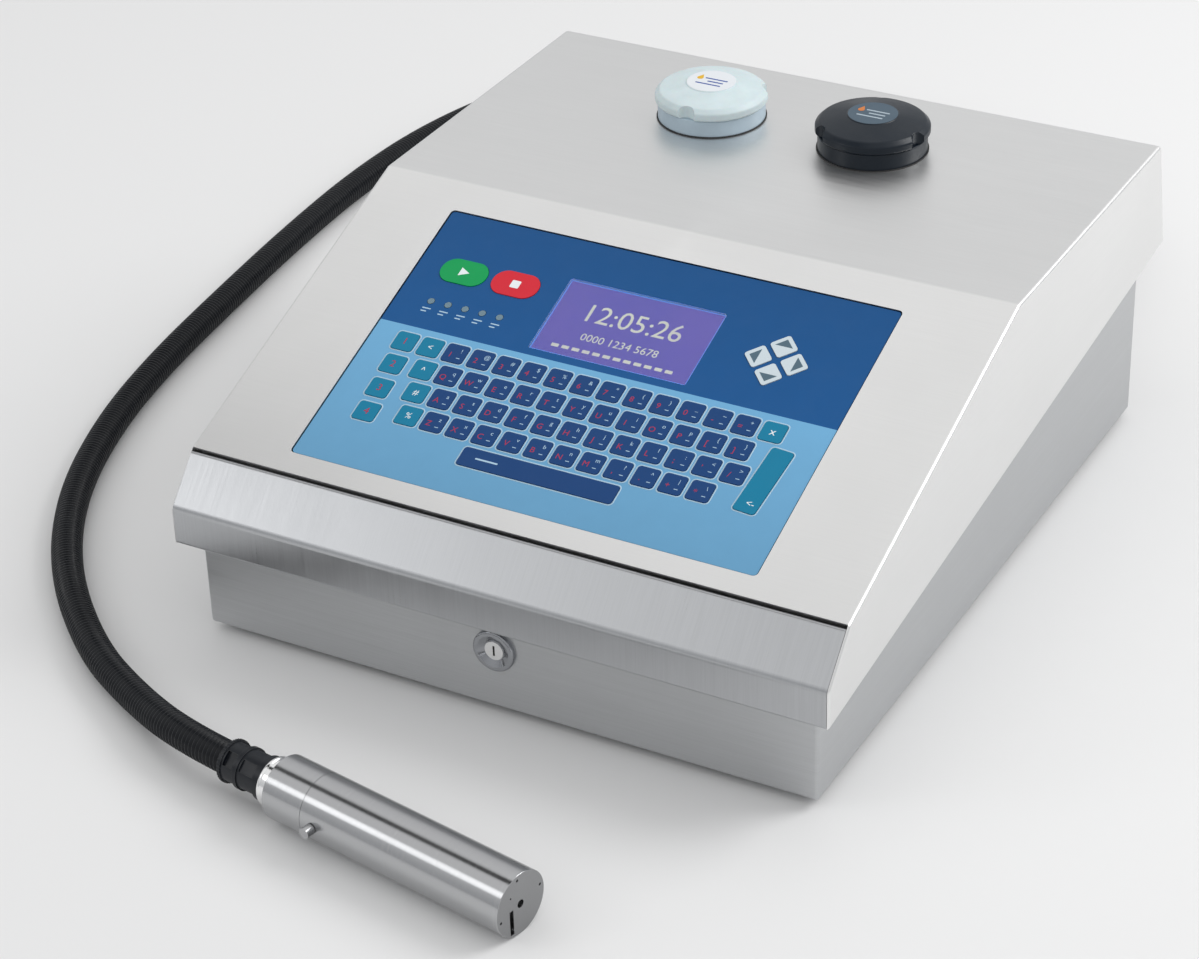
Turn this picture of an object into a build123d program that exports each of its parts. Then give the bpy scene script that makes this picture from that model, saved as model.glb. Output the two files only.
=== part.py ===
from build123d import *
import os
from math import atan2, cos, hypot, pi, radians, sin, tan

# Continuous inkjet date coder: a sheet steel cabinet with a sloping keyboard lid, two fluid tanks
# filled through capped collars, and a cylindrical print head on a corrugated umbilical.
# Millimetres. X runs to the right, Y to the rear, Z up. The origin is on the floor, under the
# middle of the lid.

# ---- driving dimensions -------------------------------------------------------------------
LID_WIDTH = 460.0
LID_DEPTH = 525.0
TOP_Z = 215.8  # flat top of the lid
FOOT_H = 6.0
SHEET = 1.5
OVERHANG = 12.7  # the lid stands this far proud of the base at the sides and front
SEAM_FRONT_Z = 70.0  # lower edge of the lid at the front
SEAM_REAR_Z = 135.0
REAR_Y = 280.0  # lower rear edge of the lid, behind its upper edge because the rear slants
SKIRT_TOP_Z = 97.0
LIP_Y, LIP_Z = -234.8, 126.7  # top of the front lip, where the keyboard face begins
FACE_TOP_Y = 12.5  # bend between the keyboard face and the flat top

HALF = LID_WIDTH / 2
FRONT_Y = -LID_DEPTH / 2
BACK_Y = LID_DEPTH / 2
FACE_ANGLE = atan2(TOP_Z - LIP_Z, FACE_TOP_Y - LIP_Y)
SEAM_SLOPE = (SEAM_REAR_Z - SEAM_FRONT_Z) / (REAR_Y - FRONT_Y)

BASE_HALF = HALF - OVERHANG
BASE_FRONT = FRONT_Y + OVERHANG
BASE_REAR = 266.0
RIM_RISE = 8.0  # the base walls stand this far up inside the lid
RIM_WIDTH = 10.0
RIM_FRONT = 6.0
GASKET_T = 4.0
GASKET_GAP = 0.2
PANEL_GAP = 1.2  # dark joint between the keyboard face and the front trim
TRIM_GAP = 0.2  # between the trim's ends and the side walls

HINGE_Y, HINGE_Z = 288.0, 133.0
HINGE_X = 150.0
PIN_R = 2.5
RUNNING = 0.05  # radial clearance of a pin or shaft that turns

FILLER_Y = 176.5
SOLVENT_X, INK_X = -67.0, 55.0
COLLAR_R, COLLAR_TOP = 37.4, 12.0
CAP_R, CAP_RIM, CAP_TOP = 39.2, 20.3, 25.5  # heights are above the lid's top
CAP_LIFT = 6.0
BORE_R = 24.0
TANK_TOP = 150.0
WALL = 3.0

LOCK_X, LOCK_Z = -2.0, 49.0
HEAD_R = 20.7
HEAD_ANGLE = -10.3
HEAD_REAR = (-64.0, -393.8)
HEAD_LENGTH = 183.0
HEAD_JOINT = 31.0  # from the head's rear face to the joint between rear body and cover
CONNECTOR_END = -43.5
THUMB_X = HEAD_JOINT + 9.5
CONDUIT_R = 10.6
GLAND_X, GLAND_Z, GLAND_END = 125.0, 55.0, 312.0

OVERLAY_W, OVERLAY_H = 325.5, 219.5
OVERLAY_X, OVERLAY_V = -1.2, 126.8  # its centre: across, and up the slope from the lip
OVERLAY_SINK = 0.7  # its top lies this far below the steel
OVERLAY_T = 1.7
KEY_PROUD = 0.5  # a key's top above the overlay, and its travel
KEY_GAP = 0.25
KEY_W, KEY_H = 15.4, 14.9
KEY_T = 1.9
BOARD_H = -9.0  # underside of the keyboard's circuit board, below the steel

# Conduit centre line from the gland to the print head's connector.
ROUTE = [
    (125.0, 312.0, 55.0), (125.0, 368.0, 55.0), (122.0, 448.0, 37.0), (98.0, 533.0, 13.0),
    (42.0, 600.0, 10.7), (-45.0, 638.0, 10.7), (-155.0, 646.0, 10.7), (-272.0, 632.0, 10.7),
    (-366.0, 590.0, 10.7), (-436.0, 523.0, 10.7), (-463.0, 430.0, 10.7), (-470.0, 330.0, 10.7),
    (-464.0, 220.0, 10.7), (-453.0, 110.0, 10.7), (-441.0, 10.0, 10.7), (-422.0, -80.0, 10.7),
    (-388.0, -170.0, 10.7), (-335.0, -250.0, 10.7), (-264.0, -316.0, 10.7), (-205.0, -350.0, 12.5),
]


def seam(y):
    """Height of the lid's lower edge at y."""
    return SEAM_FRONT_Z + (y - FRONT_Y) * SEAM_SLOPE


def block(x0, x1, y0, y1, z0, z1):
    return Pos((x0 + x1) / 2, (y0 + y1) / 2, (z0 + z1) / 2) * Box(x1 - x0, y1 - y0, z1 - z0)


def prism(outline, x0, x1):
    """Extrude an outline drawn in (y, z) from x0 to x1."""
    return Pos(x0, 0, 0) * extrude(Plane.YZ * outline, amount=x1 - x0)


def polygon(points, radii=0):
    return make_face(FilletPolyline(*points, radius=radii, close=True).edges())


def seam_slab(y0, y1, rise, thick, half):
    """A plate that follows the seam's slope, rise above it."""
    low = [(y0, seam(y0) + rise), (y1, seam(y1) + rise)]
    high = [(y, z + thick) for y, z in reversed(low)]
    return prism(polygon(low + high), -half, half)


def barrel(x, y, z0, z1, r, hole=0.0):
    """An upright cylinder or ring."""
    body = Pos(x, y, (z0 + z1) / 2) * Cylinder(r, z1 - z0)
    return body - Pos(x, y, (z0 + z1) / 2) * Cylinder(hole, z1 - z0) if hole else body


def along_y(x, z, y0, y1, r, hole=0.0):
    turned = Pos(x, (y0 + y1) / 2, z) * Rot(90, 0, 0)
    body = turned * Cylinder(r, y1 - y0)
    return body - turned * Cylinder(hole, y1 - y0) if hole else body


def along_x(x0, x1, y, z, r, hole=0.0):
    turned = Pos((x0 + x1) / 2, y, z) * Rot(0, 90, 0)
    body = turned * Cylinder(r, x1 - x0)
    return body - turned * Cylinder(hole, x1 - x0) if hole else body


def offset_inward(points, distance):
    """Move an open chain of (y, z) points to its right, with mitred corners."""
    moved = []
    for i, (y, z) in enumerate(points):
        before = points[max(i - 1, 0)], points[max(i, 1)]
        after = points[min(i, len(points) - 2)], points[min(i + 1, len(points) - 1)]
        normals = []
        for (y0, z0), (y1, z1) in (before, after):
            length = hypot(y1 - y0, z1 - z0)
            normals.append(((z1 - z0) / length, -(y1 - y0) / length))
        (ay, az), (by, bz) = normals
        scale = distance / (1 + ay * by + az * bz)
        moved.append((y + (ay + by) * scale, z + (az + bz) * scale))
    return moved


def folded_strip(points, radii, x0, x1):
    """Sheet folded along a chain of outer points; radii are the inner bend radii."""
    outer = FilletPolyline(*points, radius=[r + SHEET for r in radii])
    inner = FilletPolyline(*offset_inward(points, SHEET), radius=radii)
    ends = [Line(outer @ 0, inner @ 0), Line(outer @ 1, inner @ 1)]
    edges = outer.edges() + inner.edges() + ends[0].edges() + ends[1].edges()
    return prism(make_face(edges), x0, x1)


def near(shape, test):
    return ShapeList([edge for edge in shape.edges() if test(edge.center())])


# ---- places on the sloping keyboard face ----------------------------------------------------
SLOPE = (cos(FACE_ANGLE), sin(FACE_ANGLE))
FACE = Plane(
    origin=(0, LIP_Y, LIP_Z), x_dir=(1, 0, 0), z_dir=(0, -sin(FACE_ANGLE), cos(FACE_ANGLE))
).location


def on_slope(v, h=0.0):
    """(y, z) of a point v up the slope and h above it."""
    return LIP_Y + v * SLOPE[0] - h * SLOPE[1], LIP_Z + v * SLOPE[1] + h * SLOPE[0]


def tile(x, v, w, d, r, h0, h1, turn=0.0):
    """A plate with round corners lying in the keyboard face, from h0 to h1 above the steel."""
    flat = extrude(RectangleRounded(w, d, r), amount=h1 - h0)
    return FACE * Pos(x, v, h0) * Rot(0, 0, turn) * flat


def disc(x, v, r, h0, h1):
    return FACE * Pos(x, v, (h0 + h1) / 2) * Cylinder(r, h1 - h0)


parts = {}

# ---- base -----------------------------------------------------------------------------------
rim_front = seam(BASE_FRONT) + RIM_RISE
rim_rear = seam(BASE_REAR) + RIM_RISE
tray = prism(
    polygon([(BASE_FRONT, FOOT_H), (BASE_REAR, FOOT_H), (BASE_REAR, rim_rear), (BASE_FRONT, rim_front)]),
    -BASE_HALF, BASE_HALF,
)
tray = fillet(tray.edges().filter_by(Axis.Z) + tray.faces().sort_by(Axis.Z)[0].edges(), 2.5)
inside = [
    (BASE_FRONT + SHEET, FOOT_H + SHEET),
    (BASE_REAR - SHEET, FOOT_H + SHEET),
    (BASE_REAR - SHEET, seam(BASE_REAR - SHEET) + RIM_RISE - SHEET),
    (BASE_FRONT + SHEET, seam(BASE_FRONT + SHEET) + RIM_RISE - SHEET),
]
tray -= prism(polygon(inside), SHEET - BASE_HALF, BASE_HALF - SHEET)
rim_opening = (RIM_WIDTH + SHEET - BASE_HALF, BASE_HALF - RIM_WIDTH - SHEET,
               BASE_FRONT + RIM_FRONT, BASE_REAR - RIM_WIDTH - SHEET)
tray -= block(*rim_opening, SEAM_FRONT_Z, TOP_Z)
tray -= along_y(LOCK_X, LOCK_Z, BASE_FRONT - 5, BASE_FRONT + 5, 9.6)
FAN_X, FAN_Z, FAN_SIZE = -140.0, 62.0, 60.0
INLET_X, INLET_Z, SWITCH_Z = -40.0, 44.0, 74.0
tray -= along_y(FAN_X, FAN_Z, BASE_REAR - 5, BASE_REAR + 5, 28.0)
tray -= along_y(GLAND_X, GLAND_Z, BASE_REAR - 5, BASE_REAR + 5, 12.6)
tray -= block(INLET_X - 14.2, INLET_X + 14.2, BASE_REAR - 5, BASE_REAR + 5, INLET_Z - 11.2, SWITCH_Z + 13)
for i in range(7):
    slot_y = -150.0 + 14 * i
    tray -= Pos(130, slot_y, FOOT_H) * extrude(SlotOverall(70, 5), amount=8, both=True)
parts["base_tray"] = tray

foot = fillet(Cylinder(12.5, FOOT_H).edges().sort_by(Axis.Z)[0], 1.0)
FEET = [(x, y) for x in (-185.0, 185.0) for y in (-218.0, 230.0)]
parts["feet"] = Compound([Pos(x, y, FOOT_H / 2) * foot for x, y in FEET])

seal_strip = seam_slab(BASE_FRONT + 0.5, BASE_REAR - 0.5, RIM_RISE, GASKET_T, BASE_HALF - 0.5)
seal_strip -= block(rim_opening[0] - 0.5, rim_opening[1] + 0.5, rim_opening[2] - 0.3,
                    rim_opening[3] + 0.5, SEAM_FRONT_Z, TOP_Z)
parts["lid_gasket"] = seal_strip

# ---- lid shell ------------------------------------------------------------------------------
profile = [
    (FRONT_Y, SEAM_FRONT_Z), (FRONT_Y, SKIRT_TOP_Z), (LIP_Y, LIP_Z),
    (FACE_TOP_Y, TOP_Z), (BACK_Y, TOP_Z), (REAR_Y, SEAM_REAR_Z),
]
BENDS = [0.8, 6.0, 1.0, 5.0, 4.0, 0.8]  # outer bend radii round the lid's side outline
lid = prism(polygon(profile, BENDS), -HALF, HALF)
lid = fillet(near(lid, lambda c: abs(abs(c.X) - HALF) < 0.01 and c.Z > seam(c.Y) + 3), 2.4)
rear_tail = (BACK_Y + 1.1 * (REAR_Y - BACK_Y), TOP_Z + 1.1 * (SEAM_REAR_Z - TOP_Z))
hollow = offset_inward([(FRONT_Y, SEAM_FRONT_Z - 8)] + profile[1:5] + [rear_tail], SHEET)
lid -= prism(polygon(hollow), SHEET - HALF, HALF - SHEET)
nose = [(FRONT_Y - 5, SEAM_FRONT_Z - 5), (FRONT_Y - 5, LIP_Z + 20), on_slope(PANEL_GAP / 2, 12),
        on_slope(PANEL_GAP / 2, -6), (FRONT_Y + 8, SKIRT_TOP_Z - 4), (FRONT_Y + 8, SEAM_FRONT_Z - 5)]
lid -= prism(polygon(nose), SHEET - HALF, HALF - SHEET)
flange = [on_slope(PANEL_GAP / 2, -1), on_slope(PANEL_GAP / 2 + SHEET, -1),
          on_slope(PANEL_GAP / 2 + SHEET, -11), on_slope(PANEL_GAP / 2, -11)]
lid += prism(polygon(flange), SHEET - HALF, HALF - SHEET)
hem = seam_slab(BASE_FRONT - 0.7, REAR_Y - 1.3, 0, SHEET, HALF - SHEET + 0.2)
hem -= block(-BASE_HALF - 1, BASE_HALF + 1, FRONT_Y - 5, BASE_REAR + 1.3, 0, TOP_Z)
lid += hem
rail = seam_slab(BASE_FRONT + 16, BASE_REAR - 20, RIM_RISE + GASKET_T + GASKET_GAP, SHEET, HALF - SHEET + 0.2)
rail -= block(-BASE_HALF + 11, BASE_HALF - 11, -HALF * 2, HALF * 2, 0, TOP_Z)
lid += rail
lid -= tile(OVERLAY_X, OVERLAY_V, OVERLAY_W + 1.6, OVERLAY_H + 1.6, 3.2, -5, 5)
STUDS = [(OVERLAY_X + side * 166.4, v) for side in (-1, 1) for v in (24.0, 127.0, 230.0)]
for x, v in STUDS:
    lid += disc(x, v, 2.3, BOARD_H + 1.6, -SHEET + 0.2)
for x in (SOLVENT_X, INK_X):
    lid -= barrel(x, FILLER_Y, TOP_Z - 5, TOP_Z + 5, 27.2)
parts["lid_shell"] = lid

trim_points = [
    (BASE_FRONT - 1.0, seam(BASE_FRONT)), (FRONT_Y, SEAM_FRONT_Z), (FRONT_Y, SKIRT_TOP_Z),
    (LIP_Y - PANEL_GAP / 2 * SLOPE[0], LIP_Z - PANEL_GAP / 2 * SLOPE[1] - 0.15),
    on_slope(-PANEL_GAP / 2, -11),
]
parts["front_trim"] = folded_strip(
    trim_points, [0.5, 5.0, 0.6], SHEET + TRIM_GAP - HALF, HALF - SHEET - TRIM_GAP
)

# ---- keyboard, display and their board --------------------------------------------------------
SKIN_TOP = -OVERLAY_SINK
SKIN_LOW = SKIN_TOP - OVERLAY_T
KEY_TOP = SKIN_TOP + KEY_PROUD
LCD_X, LCD_V, LCD_W, LCD_H = -1.1, 172.6, 112.6, 62.8
LAMPS = [(-138.8 + 12.83 * i, 159.0) for i in range(5)]
PITCH = 18.76
LETTER_ROWS = [(-100.5, 122.1, 12), (-95.9, 103.4, 12), (-90.5, 84.7, 12), (-85.9, 65.9, 11)]
SMALL_KEYS = {
    "start_key": (-129.4, 188.0, 34.0, 20.5, 9.8, 0),
    "stop_key": (-90.8, 188.0, 34.0, 20.5, 9.8, 0),
    "arrow_key_up": (101.8, 188.6, 14.0, 14.0, 2.0, 45),
    "arrow_key_left": (89.4, 176.6, 14.0, 14.0, 2.0, 45),
    "arrow_key_right": (114.2, 176.6, 14.0, 14.0, 2.0, 45),
    "arrow_key_down": (101.8, 164.6, 14.0, 14.0, 2.0, 45),
    "delete_key": (124.6, 122.1, KEY_W, KEY_H, 2.2, 0),
    "space_bar": (-1.7, 47.1, 109.3, 14.5, 2.2, 0),
    "enter_key": (135.2, 84.9, 15.2, 51.6, 2.2, -4.5),
}
GROUPED_KEYS = {
    "function_keys": [(-138.0, 122.1), (-136.3, 102.3), (-134.8, 81.6), (-133.2, 61.4)],
    "control_keys": [(-119.2, 122.1), (-114.4, 103.4), (-109.4, 84.7), (-104.6, 65.9)],
    "letter_keys": [(x + PITCH * i, v) for x, v, count in LETTER_ROWS for i in range(count)],
}
overlay = tile(OVERLAY_X, OVERLAY_V, OVERLAY_W, OVERLAY_H, 2.5, SKIN_LOW, SKIN_TOP)
overlay -= tile(LCD_X, LCD_V, LCD_W + 0.3, LCD_H + 0.3, 2.0, -8, 2)
board = tile(OVERLAY_X, OVERLAY_V, 338, 232, 3, BOARD_H, BOARD_H + 1.6)
board -= tile(LCD_X, LCD_V - 1, 126, 76, 1, BOARD_H - 5, 0)
switch_low, switch_high = BOARD_H + 1.6, KEY_TOP - KEY_T - KEY_PROUD - 0.3


def key_cap(x, v, w, d, r, turn):
    """One key: make its hole in the overlay, its switch on the board, and return its cap."""
    global overlay, board
    overlay -= tile(x, v, w + 2 * KEY_GAP, d + 2 * KEY_GAP, r + KEY_GAP, -8, 2, turn)
    board += disc(x, v, 3.0, switch_low - 0.1, switch_high)
    return tile(x, v, w, d, r, KEY_TOP - KEY_T, KEY_TOP, turn)


for name, place in SMALL_KEYS.items():
    parts[name] = key_cap(*place)
for name, places in GROUPED_KEYS.items():
    parts[name] = Compound([key_cap(x, v, KEY_W, KEY_H, 2.2, 0) for x, v in places])
for x, v in LAMPS:
    overlay -= disc(x, v, 2.7, -8, 2)
parts["status_lamps"] = Compound([disc(x, v, 2.4, switch_low, SKIN_TOP + 0.2) for x, v in LAMPS])
parts["keyboard_overlay"] = overlay
parts["keyboard_board"] = board
parts["display_window"] = tile(LCD_X, LCD_V, LCD_W, LCD_H, 1.8, SKIN_LOW, SKIN_TOP - 0.1)
parts["display_module"] = tile(LCD_X, LCD_V - 1, 122, 72, 1, BOARD_H - 3, SKIN_LOW - 0.3)

# ---- filler collars, caps and liners ----------------------------------------------------------
SPIGOT_LOW = 165.0


def cap_body(x, first_notch):
    """Cap with a low cone, a flat label seat and three finger notches."""
    base = TOP_Z + COLLAR_TOP + 0.3
    rim, crown = TOP_Z + CAP_RIM, TOP_Z + CAP_TOP
    outline = [(0, base), (CAP_R - 1.2, base), (CAP_R, base + 1.5), (CAP_R, rim - 2.5),
               (CAP_R - 3.2, rim + 0.6), (17.8, crown - 0.5), (17.3, crown), (0, crown)]
    softened = polygon(outline, [0, 0.5, 0.8, 2.2, 3.0, 0.3, 0.3, 0])
    cap = Pos(x, FILLER_Y, 0) * revolve(Plane.XZ * softened, Axis.Z)
    for i in range(3):
        a = radians(first_notch + 120 * i)
        cx, cy = x + (CAP_R + 3.0) * cos(a), FILLER_Y + (CAP_R + 3.0) * sin(a)
        cap -= barrel(cx, cy, base - 1, crown + 1, 7.5)
    return cap - barrel(x, FILLER_Y, base - 1, base + 1.7, 33.3)


for fluid, x, first_notch in (("solvent", SOLVENT_X, 30.0), ("ink", INK_X, -14.0)):
    collar = barrel(x, FILLER_Y, TOP_Z + 0.8, TOP_Z + COLLAR_TOP, COLLAR_R)
    collar = fillet(collar.edges().sort_by(Axis.Z)[-1], 0.8)
    collar += barrel(x, FILLER_Y, SPIGOT_LOW, TOP_Z + 2, 27.0)
    collar -= barrel(x, FILLER_Y, SPIGOT_LOW - 1, TOP_Z + 20, BORE_R)
    parts[f"{fluid}_collar"] = collar
    liner_low = TOP_Z + COLLAR_TOP
    liner = barrel(x, FILLER_Y, liner_low, liner_low + 1.6, 33.0)
    liner += barrel(x, FILLER_Y, liner_low - CAP_LIFT, liner_low + 0.1, BORE_R - 0.4)
    parts[f"{fluid}_cap_liner"] = liner
    parts[f"{fluid}_cap"] = cap_body(x, first_notch)
parts["filler_gaskets"] = Compound(
    [barrel(x, FILLER_Y, TOP_Z, TOP_Z + 0.8, COLLAR_R + 0.9, 27.2) for x in (SOLVENT_X, INK_X)]
)

# ---- tanks ------------------------------------------------------------------------------------
FLOOR_Z = FOOT_H + SHEET
TANK_HALF, TANK_FRONT, TANK_REAR = 53.0, 110.0, 232.0
for fluid, x in (("solvent", SOLVENT_X), ("ink", INK_X)):
    tank = block(x - TANK_HALF, x + TANK_HALF, TANK_FRONT, TANK_REAR, FLOOR_Z, TANK_TOP)
    tank = fillet(tank.edges().filter_by(Axis.Z), 8)
    tank = fillet(tank.faces().sort_by(Axis.Z)[-1].edges(), 3)
    tank += barrel(x, FILLER_Y, TANK_TOP - 1, TANK_TOP + 8, 34.0)
    tank -= block(x - TANK_HALF + WALL, x + TANK_HALF - WALL, TANK_FRONT + WALL, TANK_REAR - WALL,
                  FLOOR_Z + WALL, TANK_TOP - WALL)
    tank -= barrel(x, FILLER_Y, TANK_TOP - 5, TANK_TOP + 10, 31.0)
    parts[f"{fluid}_tank"] = tank

# ---- hinges and stay --------------------------------------------------------------------------
KNUCKLE_R, KNUCKLE_SIDE, KNUCKLE_MID = 5.0, 18.0, 22.0
rear_len = hypot(REAR_Y - BACK_Y, SEAM_REAR_Z - TOP_Z)
down = ((REAR_Y - BACK_Y) / rear_len, (SEAM_REAR_Z - TOP_Z) / rear_len)
out = (-down[1], down[0])


def on_rear(up, away):
    """(y, z) of a point up the lid's rear wall and away from it."""
    return REAR_Y - down[0] * up + out[0] * away, SEAM_REAR_Z - down[1] * up + out[1] * away


base_leaves, lid_leaves, pins = [], [], []
for x in (-HINGE_X, HINGE_X):
    leaf = block(x - 30, x + 30, BASE_REAR, BASE_REAR + 2.5, 92, 122)
    leaf += block(x - 30, x + 30, BASE_REAR, HINGE_Y + 2.5, 119.5, 122)
    for x0, x1 in ((x - 30, x - 11.5), (x + 11.5, x + 30)):
        leaf += block(x0, x1, HINGE_Y - 2.5, HINGE_Y + 2.5, 120, HINGE_Z - 1)
        leaf += along_x(x0, x1, HINGE_Y, HINGE_Z, KNUCKLE_R)
    base_leaves.append(leaf - along_x(x - 31, x + 31, HINGE_Y, HINGE_Z, PIN_R))
    plate = prism(polygon([on_rear(5, 0), on_rear(5, 2.5), on_rear(34, 2.5), on_rear(34, 0)]), x - 30, x + 30)
    web = polygon([on_rear(5, 0), on_rear(7, 2.5), (HINGE_Y, HINGE_Z + 4.5), (HINGE_Y - 4, HINGE_Z)])
    plate += prism(web, x - KNUCKLE_MID / 2, x + KNUCKLE_MID / 2)
    plate += along_x(x - KNUCKLE_MID / 2, x + KNUCKLE_MID / 2, HINGE_Y, HINGE_Z, KNUCKLE_R)
    lid_leaves.append(plate - along_x(x - 31, x + 31, HINGE_Y, HINGE_Z, PIN_R + RUNNING))
    pins.append(along_x(x - 31, x + 31, HINGE_Y, HINGE_Z, PIN_R))
parts["hinge_base_leaves"] = Compound(base_leaves)
parts["hinge_lid_leaves"] = Compound(lid_leaves)
parts["hinge_pins"] = Compound(pins)

STAY_X, STAY_Y, STAY_Z, STAY_LENGTH = 200.0, 200.0, 104.0, 170.0
stay_front = (STAY_Y - STAY_LENGTH, STAY_Z - STAY_LENGTH * SEAM_SLOPE)
stay = along_x(STAY_X - 2, STAY_X + 2, STAY_Y, STAY_Z, 7)
stay += along_x(STAY_X - 2, STAY_X + 2, *stay_front, 6)
stay += prism(polygon([(STAY_Y, STAY_Z - 4), (STAY_Y, STAY_Z + 4), (stay_front[0], stay_front[1] + 4),
                       (stay_front[0], stay_front[1] - 4)]), STAY_X - 2, STAY_X + 2)
stay -= along_x(STAY_X - 3, STAY_X + 3, STAY_Y, STAY_Z, 3 + RUNNING)
stay += along_x(STAY_X - 10, STAY_X - 2, *stay_front, 3)
parts["lid_stay"] = stay
parts["base_tray"] += (
    block(BASE_HALF - SHEET - 2, BASE_HALF - SHEET, STAY_Y - 12, STAY_Y + 12, STAY_Z - 12, STAY_Z + 12)
    + along_x(STAY_X - 4, BASE_HALF - SHEET - 1, STAY_Y, STAY_Z, 3)
    + along_x(STAY_X + 2.3, BASE_HALF - SHEET - 1, STAY_Y, STAY_Z, 6)
)

# ---- lock and catch -----------------------------------------------------------------------------
lock = along_y(LOCK_X, LOCK_Z, BASE_FRONT - 3, BASE_FRONT, 14.5)
lock = fillet(near(lock, lambda c: c.Y < BASE_FRONT - 2.9), 1.6)
lock -= Pos(LOCK_X, BASE_FRONT - 1.8, LOCK_Z) * Rot(-90, 0, 0) * Cone(11.2, 7.0, 2.4)
lock += along_y(LOCK_X, LOCK_Z, BASE_FRONT - 0.5, -232, 9.5)
nut = Pos(LOCK_X, BASE_FRONT + SHEET, LOCK_Z) * Rot(-90, 0, 0) * extrude(RegularPolygon(13, 6), amount=4)
lock += nut
parts["lock_body"] = lock - along_y(LOCK_X, LOCK_Z, BASE_FRONT - 5, -231, 6.5)
barrel_turn = along_y(LOCK_X, LOCK_Z, BASE_FRONT - 1.4, -228.0, 6.5 - RUNNING)
barrel_turn -= block(LOCK_X - 0.7, LOCK_X + 0.7, BASE_FRONT - 3, BASE_FRONT + 4, LOCK_Z - 3.6, LOCK_Z + 3.6)
cam = block(LOCK_X - 5, LOCK_X + 5, -231.5, -229, LOCK_Z - 5, LOCK_Z + 24)
parts["lock_barrel"] = barrel_turn + fillet(cam.edges().filter_by(Axis.Y), 3)
CATCH_FRONT, CATCH_REAR, CATCH_LOW = -227.5, -225.5, 40.0


def under_face(y):
    """Height of the keyboard face's inner side at y."""
    y_start, z_start = on_slope(0, -SHEET)
    return z_start + (y - y_start) * tan(FACE_ANGLE)


catch = polygon([(CATCH_FRONT, CATCH_LOW), (CATCH_FRONT, under_face(CATCH_FRONT)),
                 (CATCH_REAR, under_face(CATCH_REAR)), (CATCH_REAR, CATCH_LOW)])
catch_hook = block(8, 24, CATCH_FRONT - 5.5, CATCH_FRONT + 1, CATCH_LOW, CATCH_LOW + 2)
parts["lock_catch"] = prism(catch, 8, 24) + catch_hook

# ---- chassis and its modules --------------------------------------------------------------------
DECK_Z = 18.0
deck = block(-205, 205, -222, 96, DECK_Z - SHEET, DECK_Z)
deck -= Pos(130, -108, DECK_Z) * Box(76, 100, 6)
for x, y in [(sx * 195, y) for sx in (-1, 1) for y in (-212.0, 86.0)]:
    deck += barrel(x, y, FLOOR_Z, DECK_Z - SHEET + 0.2, 4)
parts["chassis_deck"] = deck

psu = block(-195, -25, -212, -110, DECK_Z, DECK_Z + 40)
for i in range(9):
    psu -= block(-184 + 17.5 * i, -174 + 17.5 * i, -205, -117, DECK_Z + 38.5, DECK_Z + 41)
parts["power_supply"] = psu

PCB_Z = DECK_Z + 8
pcb = block(20, 195, -214, -52, PCB_Z, PCB_Z + 1.6)
for x, y in [(x, y) for x in (27, 188) for y in (-207, -59)]:
    pcb += barrel(x, y, DECK_Z, PCB_Z + 0.2, 3)
for x, y, w, d, h in ((60, -150, 28, 28, 3), (105, -160, 20, 20, 3), (150, -150, 34, 34, 14),
                      (60, -90, 44, 10, 9), (120, -90, 44, 10, 9), (170, -80, 16, 22, 12)):
    pcb += block(x - w / 2, x + w / 2, y - d / 2, y + d / 2, PCB_Z + 1.5, PCB_Z + 1.6 + h)
for i in range(4):
    pcb += barrel(40 + 16 * i, -195, PCB_Z + 1.5, PCB_Z + 18, 5)
parts["main_board"] = pcb

ink_pump = along_x(-190, -120, -62, DECK_Z + 26, 24) + block(-122, -84, -84, -40, DECK_Z, DECK_Z + 48)
ink_pump += block(-185, -125, -76, -48, DECK_Z, DECK_Z + 8)
for z in (DECK_Z + 14, DECK_Z + 34):
    ink_pump += along_x(-85, -72, -62, z, 4)
parts["ink_pump"] = ink_pump

vacuum_pump = block(-190, -122, 10, 66, DECK_Z, DECK_Z + 44)
vacuum_pump = fillet(vacuum_pump.edges().filter_by(Axis.Z), 6)
vacuum_pump += along_x(-123, -62, 38, DECK_Z + 24, 18) + block(-118, -70, 26, 50, DECK_Z, DECK_Z + 10)
for y in (24, 52):
    vacuum_pump += barrel(-168, y, DECK_Z + 43, DECK_Z + 56, 4)
parts["vacuum_pump"] = vacuum_pump

manifold = block(-40, 90, 28, 66, DECK_Z, DECK_Z + 24)
for i in range(5):
    manifold += barrel(-25 + 25 * i, 47, DECK_Z + 23, DECK_Z + 56, 9.5)
    manifold += along_y(-25 + 25 * i, DECK_Z + 12, 18, 29, 3.5)
parts["valve_manifold"] = manifold

ink_filter = barrel(130, 40, DECK_Z, DECK_Z + 62, 22) + barrel(130, 40, DECK_Z + 61, DECK_Z + 70, 12)
damper = barrel(180, 40, DECK_Z, DECK_Z + 40, 17) + barrel(180, 40, DECK_Z + 39, DECK_Z + 50, 5)
parts["ink_filter_and_damper"] = Compound([ink_filter, damper])

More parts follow.
